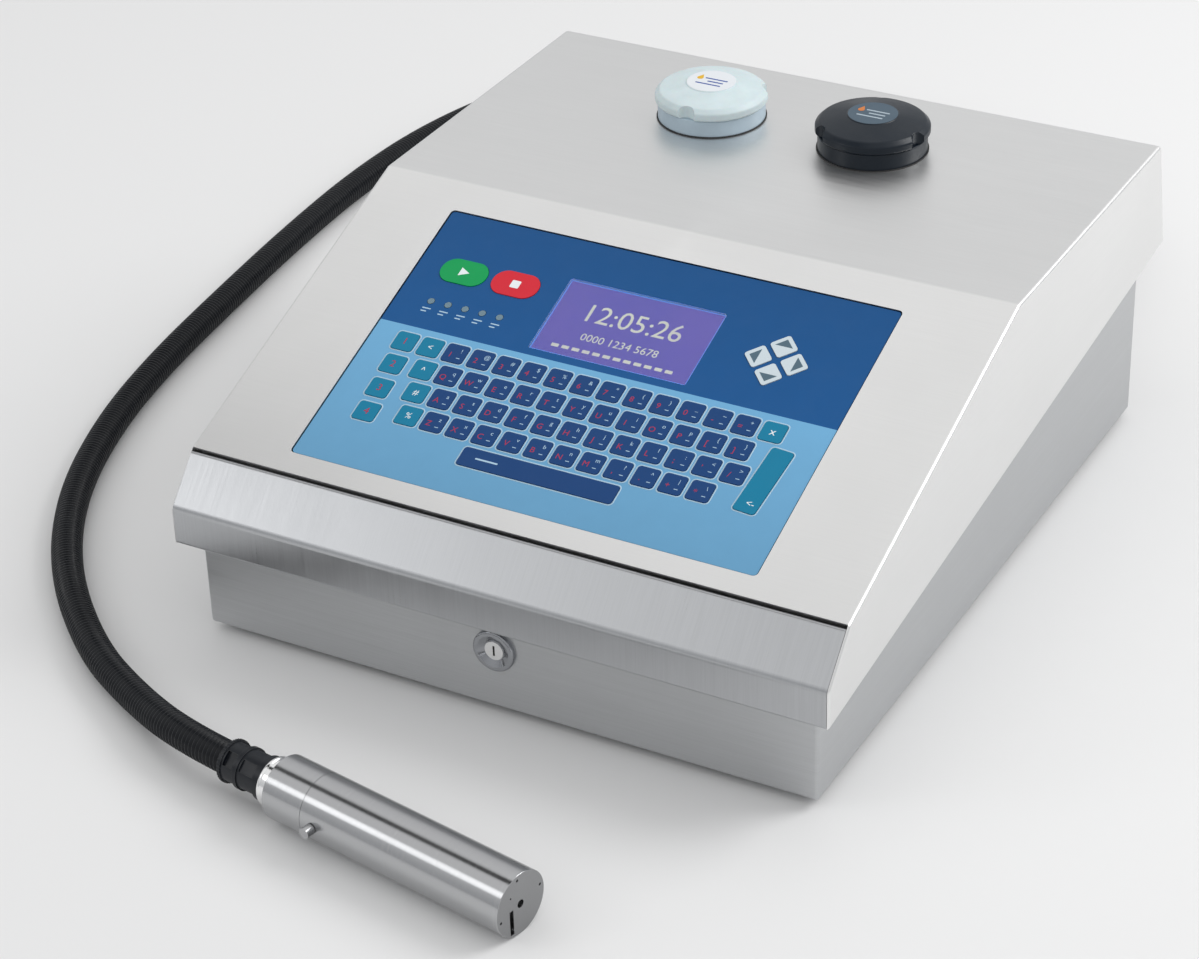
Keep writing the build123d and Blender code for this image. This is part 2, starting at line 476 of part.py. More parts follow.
# ---- rear panel: fan, mains inlet with rocker switch, umbilical gland -----------------------------
WALL_IN = BASE_REAR - SHEET
frame = block(FAN_X - 30, FAN_X + 30, WALL_IN - 25, WALL_IN, FAN_Z - 30, FAN_Z + 30)
frame = fillet(frame.edges().filter_by(Axis.Y), 4)
frame -= along_y(FAN_X, FAN_Z, WALL_IN - 26, WALL_IN + 1, 28)
for turn in range(4):
    spoke = Pos(FAN_X, WALL_IN - 23.5, FAN_Z) * Rot(0, 45 + 90 * turn, 0) * Pos(14, 0, 0) * Box(29, 3, 4)
    frame += spoke
frame += along_y(FAN_X, FAN_Z, WALL_IN - 25, WALL_IN - 22, 14)
frame += along_y(FAN_X, FAN_Z, WALL_IN - 23, WALL_IN - 6, 2)
guard = along_y(FAN_X, FAN_Z, BASE_REAR, BASE_REAR + 2, 29, 27)
for r in (7, 14, 21):
    guard += along_y(FAN_X, FAN_Z, BASE_REAR, BASE_REAR + 2, r + 0.8, r - 0.8)
for turn in range(4):
    guard += Pos(FAN_X, BASE_REAR + 1, FAN_Z) * Rot(0, 90 * turn, 0) * Pos(16.5, 0, 0) * Box(24, 2, 1.6)
parts["fan_frame_and_guard"] = Compound([frame, guard])
rotor = along_y(FAN_X, FAN_Z, WALL_IN - 21.5, WALL_IN - 3, 13, 0)
for i in range(7):
    blade = Pos(FAN_X, WALL_IN - 12, FAN_Z) * Rot(0, 360 / 7 * i, 0) * Pos(19, 0, 0) * Rot(38, 0, 0)
    rotor += blade * Box(14, 1.6, 17)
parts["fan_rotor"] = rotor - along_y(FAN_X, FAN_Z, WALL_IN - 22, WALL_IN - 5, 2 + RUNNING)

inlet = block(INLET_X - 24, INLET_X + 24, BASE_REAR, BASE_REAR + 3, INLET_Z - 17, SWITCH_Z + 18)
inlet = fillet(inlet.edges().filter_by(Axis.Y), 3)
inlet += block(INLET_X - 14, INLET_X + 14, BASE_REAR - 24, BASE_REAR + 0.5, INLET_Z - 11, SWITCH_Z + 12.8)
inlet -= block(INLET_X - 12, INLET_X + 12, BASE_REAR - 15, BASE_REAR + 5, INLET_Z - 8, INLET_Z + 8)
inlet -= block(INLET_X - 7.2, INLET_X + 7.2, BASE_REAR - 8, BASE_REAR + 5, SWITCH_Z - 12.3, SWITCH_Z + 12.3)
ROCKER_PIN_R, ROCKER_TILT = 1.0, 12.0
inlet -= along_x(INLET_X - 8.6, INLET_X + 8.6, BASE_REAR + 1.5, SWITCH_Z, ROCKER_PIN_R + RUNNING)
parts["mains_inlet"] = inlet
rocker_outline = [(-4, -11), (2.2, -11), (4.4, 0), (2.2, 11), (-4, 11)]
rocker = prism(polygon(rocker_outline, 0.5), -6.8, 6.8) + along_x(-8.4, 8.4, 0, 0, ROCKER_PIN_R)
parts["rocker_switch"] = Pos(INLET_X, BASE_REAR + 1.5, SWITCH_Z) * Rot(ROCKER_TILT, 0, 0) * rocker

gland = along_y(GLAND_X, GLAND_Z, WALL_IN - 6, GLAND_END - 12, 12.5)
for y in (WALL_IN - 5, BASE_REAR):
    gland += Pos(GLAND_X, y, GLAND_Z) * Rot(-90, 0, 0) * extrude(RegularPolygon(18, 6), amount=5)
gland += along_y(GLAND_X, GLAND_Z, BASE_REAR + 5, GLAND_END - 18, 15.5)
gland += along_y(GLAND_X, GLAND_Z, GLAND_END - 19, GLAND_END, 14)
parts["umbilical_gland"] = fillet(near(gland, lambda c: c.Y > GLAND_END - 0.1), 2)

# ---- print head, made along +X from its rear face, then laid on the floor ----------------------------
HEAD = Location((HEAD_REAR[0], HEAD_REAR[1], HEAD_R), (0, 0, HEAD_ANGLE))
CORE_R = 18.2  # everything under the cover stays inside this radius
COVER_WALL = 1.8


def head_rod(x0, x1, r, y=0.0, z=0.0, hole=0.0):
    return along_x(x0, x1, y, z, r, hole)


rear_body = head_rod(0, HEAD_JOINT, HEAD_R)
rear_body = chamfer(near(rear_body, lambda c: c.X < 0.1), 0.8)
rear_body += head_rod(-9, 0.5, 15.4) + head_rod(HEAD_JOINT - 1, HEAD_JOINT + 14, CORE_R)
parts["head_rear_body"] = HEAD * rear_body
DECK_X = HEAD_JOINT + 14
head_deck = block(DECK_X, HEAD_LENGTH - 6, -15, 15, -9, -6)
head_deck += block(DECK_X, DECK_X + 30, -10, 10, -6.5, 2)
parts["head_chassis"] = HEAD * head_deck
nozzle = head_rod(DECK_X + 31, DECK_X + 62, 6.0, 0, 1) + head_rod(DECK_X + 61, DECK_X + 66, 3.0, 0, 1)
nozzle += block(DECK_X + 36, DECK_X + 56, -5, 5, -6, 1)
parts["drop_generator"] = HEAD * nozzle
charge_tunnel = block(DECK_X + 70, DECK_X + 80, -7, 7, -6, 6) - block(DECK_X + 69, DECK_X + 81, -1, 1, -2, 7)
plates = [block(DECK_X + 84, DECK_X + 112, y - 1.2, y + 1.2, -6, 9) for y in (-5.5, 5.5)]
parts["charge_and_deflector_electrodes"] = HEAD * Compound([charge_tunnel, *plates])
gutter = head_rod(DECK_X + 116, HEAD_LENGTH - 7, 2.2, 0, 1) + block(DECK_X + 118, DECK_X + 124, -3, 3, -6, 1)
parts["gutter"] = HEAD * gutter
cover = head_rod(HEAD_JOINT + 0.3, HEAD_LENGTH - 3, HEAD_R, hole=HEAD_R - COVER_WALL)
cover -= Pos(THUMB_X, -HEAD_R + 1, 0) * Rot(90, 0, 0) * Cylinder(2.05, 8)
parts["head_cover"] = HEAD * cover
end_cap = head_rod(HEAD_LENGTH - 3, HEAD_LENGTH, HEAD_R) + head_rod(HEAD_LENGTH - 5, HEAD_LENGTH - 2, 18.8)
end_cap = fillet(near(end_cap, lambda c: c.X > HEAD_LENGTH - 0.1), 0.4)
end_cap -= head_rod(HEAD_LENGTH - 8, HEAD_LENGTH + 1, 2.6)
end_cap -= block(HEAD_LENGTH - 8, HEAD_LENGTH + 1, -9.6, -6.4, -17.5, -0.5)
for y, z, r in ((-0.09, 0.84, 0.9), (0.83, 0.15, 0.9), (-0.83, -0.16, 0.9), (-0.395, 0.41, 0.6)):
    end_cap -= head_rod(HEAD_LENGTH - 2.4, HEAD_LENGTH + 1, r, y * HEAD_R, z * HEAD_R)
parts["head_end_cap"] = HEAD * end_cap
screw = Pos(THUMB_X, -(CORE_R + 0.4 + 3.9), 0) * Rot(90, 0, 0) * Cylinder(2.0, 7.8)
screw += Pos(THUMB_X, -(HEAD_R + 0.3 + 2.95), 0) * Rot(90, 0, 0) * Cylinder(3.6, 5.9)
parts["head_thumb_screw"] = HEAD * screw

connector = head_rod(CONNECTOR_END + 1, -9, 13.2) + head_rod(CONNECTOR_END, CONNECTOR_END + 2.4, 13.8)
connector += head_rod(-31, -28, 13.9) + head_rod(-14, -9, 14.4)
for i in range(4):
    around = Rot(90 * i + 45, 0, 0)
    window = Pos(-36, 0, 0) * around * Pos(0, 0, 13.2) * Box(7.6, 9.6, 5)
    recess = Pos(-21, 0, 0) * around * Pos(0, 0, 13.2) * Box(11, 8, 2.4)
    connector -= [window, recess]
parts["conduit_connector"] = HEAD * connector

# ---- conduit: straight runs joined by tangent arcs ---------------------------------------------------
head_dir = Vector(cos(radians(HEAD_ANGLE)), sin(radians(HEAD_ANGLE)), 0)
head_end = Vector(*HEAD_REAR, HEAD_R) + head_dir * CONNECTOR_END
route = [Vector(*p) for p in ROUTE] + [head_end - head_dir * 42, head_end]
arc_radii = []
for a, b, c in zip(route, route[1:], route[2:]):
    turn = (b - a).get_angle(c - b)
    arc_radii.append(0.45 * min((b - a).length, (c - b).length) / tan(radians(turn) / 2))
path = FilletPolyline(*route, radius=arc_radii)
conduit = sweep(Plane(origin=path @ 0, z_dir=path % 0) * Circle(CONDUIT_R), path=path)
parts["umbilical_conduit"] = conduit
print("conduit length", round(path.length, 1), "smallest radius", round(min(arc_radii), 1))
print("radii", [round(r) for r in arc_radii])
print("volume over section times length", round(conduit.volume / (pi * CONDUIT_R**2 * path.length), 5))

os.makedirs("parts", exist_ok=True)
for name, shape in parts.items():
    export_step(shape, f"parts/{name}.step")
print(len(parts), "nodes")
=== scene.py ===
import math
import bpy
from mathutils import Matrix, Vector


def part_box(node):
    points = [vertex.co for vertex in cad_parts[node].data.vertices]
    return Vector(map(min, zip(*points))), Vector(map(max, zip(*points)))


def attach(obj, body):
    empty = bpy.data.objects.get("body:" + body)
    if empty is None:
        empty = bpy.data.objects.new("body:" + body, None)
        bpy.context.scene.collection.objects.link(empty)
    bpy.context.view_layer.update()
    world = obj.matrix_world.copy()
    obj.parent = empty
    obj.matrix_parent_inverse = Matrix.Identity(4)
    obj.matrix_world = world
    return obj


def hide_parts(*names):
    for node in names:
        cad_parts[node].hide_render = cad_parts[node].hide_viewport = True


bl_info = {
    "name": "Date code inkjet printer",
    "version": (1, 0, 0),
    "blender": (4, 5, 0),
    "location": "View3D > Sidebar > Printer",
    "description": "Finishes, conduit, keyboard print and small hardware of a continuous inkjet date coder",
    "category": "Object",
}

import bmesh
import bpy
from mathutils import Matrix, Vector

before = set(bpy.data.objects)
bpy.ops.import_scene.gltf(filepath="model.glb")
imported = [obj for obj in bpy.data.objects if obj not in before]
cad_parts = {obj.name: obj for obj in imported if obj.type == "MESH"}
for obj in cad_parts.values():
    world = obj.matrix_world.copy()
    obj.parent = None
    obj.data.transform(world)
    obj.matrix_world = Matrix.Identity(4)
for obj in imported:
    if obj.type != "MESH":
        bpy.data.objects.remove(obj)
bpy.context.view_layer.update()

MM = 0.001
INK_FILM = 0.00006  # thickness of a printed mark

# The conduit's route on the floor from the gland to the print head, in metres.
CONDUIT_ROUTE = [
    (0.125, 0.312, 0.055), (0.125, 0.368, 0.055), (0.122, 0.448, 0.037), (0.098, 0.533, 0.013),
    (0.042, 0.600, 0.0107), (-0.045, 0.638, 0.0107), (-0.155, 0.646, 0.0107), (-0.272, 0.632, 0.0107),
    (-0.366, 0.590, 0.0107), (-0.436, 0.523, 0.0107), (-0.463, 0.430, 0.0107), (-0.470, 0.330, 0.0107),
    (-0.464, 0.220, 0.0107), (-0.453, 0.110, 0.0107), (-0.441, 0.010, 0.0107), (-0.422, -0.080, 0.0107),
    (-0.388, -0.170, 0.0107), (-0.335, -0.250, 0.0107), (-0.264, -0.316, 0.0107), (-0.205, -0.350, 0.0125),
    (-0.14812, -0.37851, 0.0207), (-0.10680, -0.38602, 0.0207),
]
RINGS_PER_RIB = 4

FILM_SHEEN = 0.22  # specular level of the overlay's film
SHEET_GRAIN = 0.000004  # depth of the brushing on the sheets
FINE_GRAIN = 0.0000015  # and on the lid and the head

HEAD_TURN = math.radians(-10.3)
HEAD_REAR = Vector((-0.064, -0.3938, 0.0207))
HEAD_FRAME = Matrix.Translation(HEAD_REAR) @ Matrix.Rotation(HEAD_TURN, 4, "Z")
HEAD_AXIS = HEAD_FRAME.to_3x3() @ Vector((1, 0, 0))
ALONG_X = Matrix.Rotation(math.pi / 2, 4, "Y")  # lays along X what stands along Z
ENTER_TURN = math.radians(-4.5)
SQUARE = ((-1, -1), (1, -1), (1, 1), (-1, 1))
BACKWARD = (0, 1, 0)
UP = (0, 0, 1)
ON_CONDUIT = ("conduit_connector", "head_rear_body", "head_chassis", "head_cover", "head_end_cap",
              "head_thumb_screw", "drop_generator", "charge_and_deflector_electrodes", "gutter")


# ---- settings ------------------------------------------------------------------------------------
def size(name, description, default):
    return bpy.props.FloatProperty(name=name, description=description, default=default, unit="LENGTH",
                                   precision=5)


def share(name, description, default):
    return bpy.props.FloatProperty(name=name, description=description, default=default, min=0, max=1,
                                   subtype="FACTOR")


def colour(name, description, default):
    return bpy.props.FloatVectorProperty(name=name, description=description, default=default, size=4,
                                         min=0, max=1, subtype="COLOR")


def shade(red, green, blue):
    """A linear colour from display values of 0 to 255."""
    lit = [c / 255 for c in (red, green, blue)]
    return tuple(c / 12.92 if c < 0.04045 else ((c + 0.055) / 1.055) ** 2.4 for c in lit) + (1.0,)


class ConduitSettings(bpy.types.PropertyGroup):
    diameter: size("Diameter", "Across the ribs", 0.0212)
    rib_pitch: size("Rib pitch", "From one rib to the next", 0.0031)
    groove: size("Groove", "Depth between the ribs", 0.0017)
    nylon: colour("Nylon", "Colour of the conduit and its fittings", shade(10, 14, 20))


class SteelSettings(bpy.types.PropertyGroup):
    lid: colour("Lid", "Tint of the satin lid", (0.84, 0.84, 0.835, 1))
    # The trim, cabinet and head take darker tints than the lid's steel: painted shade, for the dark
    # surroundings that these faces reflect.
    trim: colour("Trim", "Tint of the front trim", (0.50, 0.51, 0.525, 1))
    cabinet: colour("Cabinet", "Tint of the base", (0.55, 0.56, 0.57, 1))
    head: colour("Head", "Tint of the turned print head", (0.50, 0.505, 0.515, 1))
    roughness: share("Roughness", "Roughness of the satin sheet", 0.34)


class KeyboardSettings(bpy.types.PropertyGroup):
    dark_film: colour("Dark film", "Upper part of the overlay", shade(10, 86, 148))
    light_film: colour("Light film", "Lower part of the overlay", shade(110, 170, 210))
    navy: colour("Navy", "Letter keys and space bar", shade(14, 64, 120))
    teal: colour("Teal", "Function and control keys", shade(6, 124, 160))
    start: colour("Start", "Start key", shade(0, 158, 84))
    stop: colour("Stop", "Stop key", shade(214, 38, 54))
    pale_print: colour("Pale print", "Outlines and pale legends", shade(176, 206, 226))
    red_print: colour("Red print", "Red legends", shade(176, 48, 78))
    screen: colour("Screen", "Lit display", shade(72, 66, 174))
    outline: size("Outline", "Width of the line round a key", 0.001)


class FluidSettings(bpy.types.PropertyGroup):
    solvent: colour("Solvent", "Solvent cap and collar", shade(206, 221, 224))
    # The ink cap's blue tint is painted reflection, for the bluish sheen on its top.
    ink: colour("Ink", "Ink cap and collar", shade(8, 22, 34))
    hose_radius: size("Hose radius", "Radius of the hoses inside the cabinet", 0.0028)


class StudioSettings(bpy.types.PropertyGroup):
    floor: colour("Floor", "Floor", (0.80, 0.80, 0.80, 1))
    zenith: colour("Zenith", "Sky overhead", (0.90, 0.90, 0.90, 1))
    horizon: colour("Horizon", "Sky at the horizon", (0.46, 0.47, 0.485, 1))
    key_power: bpy.props.FloatProperty(name="Key light", description="Power of the key light", default=32,
                                       min=0, unit="POWER")


SETTINGS = {
    "printer_conduit": ConduitSettings,
    "printer_steel": SteelSettings,
    "printer_keyboard": KeyboardSettings,
    "printer_fluid": FluidSettings,
    "printer_studio": StudioSettings,
}


# ---- node trees ----------------------------------------------------------------------------------
class Graph:
    """Adds nodes to a tree and joins them. A value is a number, a colour, a socket or a node."""

    def __init__(self, tree):
        self.tree = tree

    def feed(self, socket, value):
        if isinstance(value, bpy.types.Node):
            value = value.outputs[0]
        if isinstance(value, bpy.types.NodeSocket):
            self.tree.links.new(value, socket)
        else:
            socket.default_value = value

    def node(self, kind, *values, **settings):
        """A node whose inputs take the values in order; None leaves an input alone."""
        made = self.tree.nodes.new(kind)
        for key, value in settings.items():
            setattr(made, key, value)
        for socket, value in zip(made.inputs, values):
            if value is not None:
                self.feed(socket, value)
        return made

    def named(self, made, **values):
        """Feeds a node's inputs by name, with underscores for spaces."""
        for key, value in values.items():
            self.feed(made.inputs[key.replace("_", " ")], value)
        return made

    def math(self, operation, *values):
        return self.node("ShaderNodeMath", *values, operation=operation).outputs[0]

    def vector(self, operation, *values):
        made = self.node("ShaderNodeVectorMath", *values, operation=operation)
        return made.outputs["Value" if operation in ("DOT_PRODUCT", "LENGTH") else "Vector"]

    def blend(self, part, first, second):
        """first where part is 0 and second where it is 1."""
        mix = self.tree.nodes.new("ShaderNodeMix")
        mix.data_type = "RGBA"
        for index, value in ((0, part), (6, first), (7, second)):
            self.feed(mix.inputs[index], value)
        return mix.outputs[2]

    def remap(self, value, low, high, to_low=0.0, to_high=1.0):
        return self.node("ShaderNodeMapRange", value, low, high, to_low, to_high).outputs[0]

    def noise(self, vector, scale, detail=2.0, roughness=0.5):
        return self.named(self.node("ShaderNodeTexNoise"), Vector=vector, Scale=scale, Detail=detail,
                          Roughness=roughness).outputs["Fac"]

    def place(self):
        return self.node("ShaderNodeTexCoord").outputs["Object"]

    def group(self, name, **values):
        made = self.tree.nodes.new("ShaderNodeGroup")
        made.node_tree = SHARED[name]
        return self.named(made, **values)

    def bump(self, height, distance, strength=1.0):
        return self.named(self.node("ShaderNodeBump"), Height=height, Distance=distance,
                          Strength=strength).outputs[0]


SHARED = {}


def shared_group(name, inputs, outputs):
    """An empty shader group; inputs are name: default and outputs are names of values."""
    tree = bpy.data.node_groups.new(name, "ShaderNodeTree")
    for label, default in inputs.items():
        kind = "NodeSocketVector" if default is None else "NodeSocketFloat"
        socket = tree.interface.new_socket(label, in_out="INPUT", socket_type=kind)
        if default is not None:
            socket.default_value = default
    for label in outputs:
        tree.interface.new_socket(label, in_out="OUTPUT", socket_type="NodeSocketFloat")
    SHARED[name] = tree
    given = tree.nodes.new("NodeGroupInput").outputs
    return Graph(tree), given, tree.nodes.new("NodeGroupOutput")


def make_edge_wear_and_highlight():
    """Mask of the outer edges, broken up by noise: partly rubbed edges, partly a painted highlight along
    them.
    """
    graph, given, result = shared_group(
        "rubbed and highlit edges", {"Place": None, "Width": 0.0006, "Amount": 0.5}, ["Mask"])
    rounded = graph.node("ShaderNodeBevel", given["Width"], samples=4)
    flat = graph.node("ShaderNodeNewGeometry").outputs["Normal"]
    bend = graph.math("SUBTRACT", 1.0, graph.vector("DOT_PRODUCT", rounded, flat))
    patches = graph.remap(graph.noise(given["Place"], 90.0, 3.0), 0.35, 0.65, 0.3, 1.0)
    worn_and_highlit = graph.math("MULTIPLY", graph.remap(bend, 0.0, 0.12), patches)
    graph.named(result, Mask=graph.math("MULTIPLY", worn_and_highlit, given["Amount"]))


def make_brushed_grain():
    """Fine lines along one direction, and the slow clouding of a rolled sheet."""
    graph, given, result = shared_group(
        "brushed grain", {"Lines": None, "Place": None}, ["Streak", "Cloud"])
    fine = graph.noise(given["Lines"], 1.0, 4.0, 0.7)
    coarse = graph.noise(given["Lines"], 0.23, 2.0, 0.5)
    both = graph.math("ADD", graph.math("MULTIPLY", fine, 0.7), graph.math("MULTIPLY", coarse, 0.3))
    cloud = graph.noise(given["Place"], 9.0, 3.0, 0.55)
    graph.named(result, Streak=graph.remap(both, 0.33, 0.67), Cloud=graph.remap(cloud, 0.3, 0.7))


def make_moulded_skin():
    """The spark-eroded texture of a mould, and the slight unevenness of its colour."""
    graph, given, result = shared_group(
        "moulded skin", {"Place": None, "Scale": 1800.0}, ["Height", "Mottle"])
    sparks = graph.noise(given["Place"], given["Scale"], 2.0, 0.6)
    mottle = graph.noise(given["Place"], 70.0, 3.0, 0.6)
    graph.named(result, Height=sparks, Mottle=graph.remap(mottle, 0.3, 0.7))


def make_settled_dust():
    """Mask of the light dust that settles on faces that look up."""
    graph, given, result = shared_group("settled dust", {"Place": None, "Amount": 0.2}, ["Mask"])
    normal = graph.node("ShaderNodeNewGeometry").outputs["Normal"]
    up = graph.math("MAXIMUM", graph.node("ShaderNodeSeparateXYZ", normal).outputs["Z"], 0.0)
    specks = graph.remap(graph.noise(given["Place"], 55.0, 5.0, 0.7), 0.42, 0.7)
    settled = graph.math("MULTIPLY", specks, up)
    graph.named(result, Mask=graph.math("MULTIPLY", settled, given["Amount"]))


# ---- finishes ------------------------------------------------------------------------------------
def surface(name, **constants):
    """A material with a Principled shader; constants are its inputs, with underscores for spaces."""
    material = bpy.data.materials.new(name)
    material.use_nodes = True
    graph = Graph(material.node_tree)
    shader = material.node_tree.nodes["Principled BSDF"]
    graph.named(shader, **constants)
    return material, graph, shader


def scaled(tint, factor):
    return tuple(min(1.0, c * factor) for c in tint[:3]) + (1.0,)


def brushed_steel(name, tint, stretch, across, roughness):
    """Brushed stainless sheet. stretch scales the place so that the grain runs along its small axis."""
    material, graph, shader = surface(name, Metallic=1.0, Anisotropic=0.45)
    place = graph.place()
    lines = graph.named(graph.node("ShaderNodeMapping"), Vector=place, Scale=stretch)
    steel_finish(graph, shader, place, lines, tint, roughness, SHEET_GRAIN)
    graph.named(shader, Tangent=graph.node("ShaderNodeCombineXYZ", *across))
    return material


def steel_finish(graph, shader, place, lines, tint, roughness, depth, contrast=0.14):
    """Grain, clouding and lighter edges on a steel shader; the lighter edges are partly rubbed steel and
    partly a painted highlight.
    """
    grain = graph.group("brushed grain", Lines=lines, Place=place)
    streak, cloud = grain.outputs["Streak"], grain.outputs["Cloud"]
    base = graph.blend(streak, scaled(tint, 1.03 - contrast), scaled(tint, 1.03))
    base = graph.blend(graph.math("MULTIPLY", cloud, 0.4), base, scaled(tint, 0.95))
    wear_and_highlight = graph.group("rubbed and highlit edges", Place=place, Width=0.0008, Amount=0.45).outputs["Mask"]
    rough = graph.remap(streak, 0.0, 1.0, roughness - 0.04, roughness + 0.06)
    # the edges take a lighter copy of the tint: rubbed steel and a painted highlight
    graph.named(shader, Base_Color=graph.blend(wear_and_highlight, base, scaled(tint, 1.25)),
                Roughness=graph.math("ADD", rough, graph.math("MULTIPLY", cloud, 0.04)),
                Normal=graph.bump(streak, depth))


def satin_lid(name, tint, roughness):
    """The lid's steel: its grain runs across the top and face, and level along the sides."""
    material, graph, shader = surface(name, Metallic=1.0, Anisotropic=0.3)
    place = graph.place()
    normal = graph.node("ShaderNodeSeparateXYZ", graph.node("ShaderNodeNewGeometry").outputs["Normal"])
    side = graph.math("GREATER_THAN", graph.math("ABSOLUTE", normal.outputs["X"]), 0.7)
    across, level = (graph.named(graph.node("ShaderNodeMapping"), Vector=place, Scale=stretch)
                     for stretch in ((30, 2200, 30), (30, 30, 2200)))
    lines = graph.blend(side, across, level)
    steel_finish(graph, shader, place, lines, tint, roughness, FINE_GRAIN, 0.05)
    return material


def turned_steel(name, tint, roughness):
    """Steel turned on the head's axis: grooves round its side, rings on its ends, and painted shade that
    darkens its front end.
    """
    material, graph, shader = surface(name, Metallic=1.0, Anisotropic=0.8, Anisotropic_Rotation=0.25)
    place = graph.place()
    offset = graph.vector("SUBTRACT", place, tuple(HEAD_REAR))
    along = graph.vector("DOT_PRODUCT", offset, tuple(HEAD_AXIS))
    around = graph.vector("CROSS_PRODUCT", tuple(HEAD_AXIS), offset)
    reach = graph.math("ADD", along, graph.vector("LENGTH", around))
    lines = graph.node("ShaderNodeCombineXYZ", graph.math("MULTIPLY", reach, 2600.0), 0.0, 0.0)
    steel_finish(graph, shader, place, lines, tint, roughness, FINE_GRAIN)
    sides = shader.inputs["Base Color"].links[0].from_socket
    normal = graph.node("ShaderNodeNewGeometry").outputs["Normal"]
    # painted shade: faces along the axis, at the front end, take a darker copy of the tint
    end = graph.math("GREATER_THAN", graph.vector("DOT_PRODUCT", normal, tuple(HEAD_AXIS)), 0.9)
    graph.named(shader, Tangent=around, Base_Color=graph.blend(end, sides, scaled(tint, 0.62)))
    return material


def moulded(name, tint, roughness=0.42, texture=1800.0, depth=0.00002, wear_and_highlight=0.25, **constants):
    """Moulded plastic or rubber."""
    material, graph, shader = surface(name, **constants)
    place = graph.place()
    skin = graph.group("moulded skin", Place=place, Scale=texture)
    base = graph.blend(skin.outputs["Mottle"], scaled(tint, 0.95), scaled(tint, 1.04))
    worn_and_highlit = graph.group("rubbed and highlit edges", Place=place, Width=0.0006, Amount=wear_and_highlight).outputs["Mask"]
    # lighter edges: rubbed plastic and a painted highlight along them
    lighter = tuple(c + (1 - c) * 0.22 for c in tint[:3]) + (1.0,)
    base = graph.blend(worn_and_highlit, base, lighter)
    dust = graph.group("settled dust", Place=place, Amount=0.012).outputs["Mask"]
    rough = graph.remap(skin.outputs["Mottle"], 0.0, 1.0, roughness - 0.05, roughness + 0.07)
    graph.named(shader, Base_Color=graph.blend(dust, base, (0.5, 0.5, 0.48, 1)),
                Roughness=graph.math("ADD", rough, graph.math("MULTIPLY", dust, 0.4)),
                Normal=graph.bump(skin.outputs["Height"], depth))
    return material


def printed_film(name, tint):
    """Screen-printed polyester film with a fine embossed texture."""
    material, graph, shader = surface(name, Specular_IOR_Level=FILM_SHEEN)
    film_finish(graph, shader, graph.place(), tint)
    return material


def film_finish(graph, shader, place, base):
    skin = graph.group("moulded skin", Place=place, Scale=3200.0)
    mottle = skin.outputs["Mottle"]
    darker = graph.blend(graph.math("MULTIPLY", mottle, 0.03), base, (0.02, 0.03, 0.05, 1))
    dust = graph.group("settled dust", Place=place, Amount=0.004).outputs["Mask"]
    graph.named(shader, Base_Color=graph.blend(dust, darker, (0.7, 0.7, 0.7, 1)),
                Roughness=graph.remap(mottle, 0.0, 1.0, 0.32, 0.42),
                Normal=graph.bump(skin.outputs["Height"], 0.000008))


def two_tone_film(name, dark, light, split):
    """The overlay's film, dark above the split height on the slope and light below it."""
    material, graph, shader = surface(name, Specular_IOR_Level=FILM_SHEEN)
    place = graph.place()
    upward = tuple(FACE.to_3x3() @ Vector((0, 1, 0)))
    climb = graph.vector("DOT_PRODUCT", graph.vector("SUBTRACT", place, tuple(FACE.translation)), upward)
    upper = graph.math("GREATER_THAN", climb, split)
    sway = graph.remap(climb, -0.11, 0.11)
    lower_tone = graph.blend(sway, scaled(light, 0.86), scaled(light, 1.22))
    upper_tone = graph.blend(sway, scaled(dark, 1.08), scaled(dark, 0.82))
    film_finish(graph, shader, place, graph.blend(upper, lower_tone, upper_tone))
    return material


def circuit_board(name, top=1.0, body_tone=(0, 0, 0, 1)):
    """Green board with copper tracks, and its components' tone above the height top."""
    material, graph, shader = surface(name, Coat_Weight=0.2)
    place = graph.place()
    height = graph.node("ShaderNodeSeparateXYZ", place).outputs["Z"]
    tracks = graph.node("ShaderNodeTexVoronoi", distance="MANHATTAN")
    graph.named(tracks, Vector=place, Scale=240.0)
    line = graph.remap(tracks.outputs["Distance"], 0.42, 0.5)
    green = graph.blend(line, shade(14, 84, 50), shade(40, 122, 74))
    component = graph.math("GREATER_THAN", height, top)
    graph.named(shader, Base_Color=graph.blend(component, green, body_tone),
                Roughness=graph.remap(line, 0.0, 1.0, 0.35, 0.5), Normal=graph.bump(line, 0.00004))
    return material


def display_glass(name):
    material, graph, shader = surface(name, Transmission_Weight=1.0, IOR=1.46)
    smears = graph.noise(graph.place(), 45.0, 4.0, 0.6)
    graph.named(shader, Base_Color=graph.blend(smears, (0.94, 0.95, 1, 1), (1, 1, 1, 1)),
                Roughness=graph.remap(smears, 0.3, 0.7, 0.03, 0.09))
    return material


def lit_panel(name, tint, strength):
    """A backlit liquid crystal layer with its fine cell pattern."""
    material, graph, shader = surface(name, Roughness=0.5, Emission_Strength=strength)
    place = graph.place()
    cells = graph.blend(graph.noise(place, 900.0, 1.0), scaled(tint, 0.92), scaled(tint, 1.05))
    glow = graph.remap(graph.noise(place, 14.0, 2.0), 0.3, 0.7, 0.0, 0.35)
    base = graph.blend(glow, cells, shade(112, 84, 178))
    graph.named(shader, Base_Color=base, Emission_Color=base)
    return material


def clear_plastic(name, tint, roughness=0.2):
    """Natural hose or lamp lens, with faint streaks in it."""
    material, graph, shader = surface(name, Transmission_Weight=0.35, IOR=1.45, Coat_Weight=0.3)
    streak = graph.noise(graph.place(), 160.0, 3.0)
    graph.named(shader, Base_Color=graph.blend(streak, scaled(tint, 0.85), scaled(tint, 1.1)),
                Roughness=graph.remap(streak, 0.3, 0.7, roughness, roughness + 0.12))
    return material


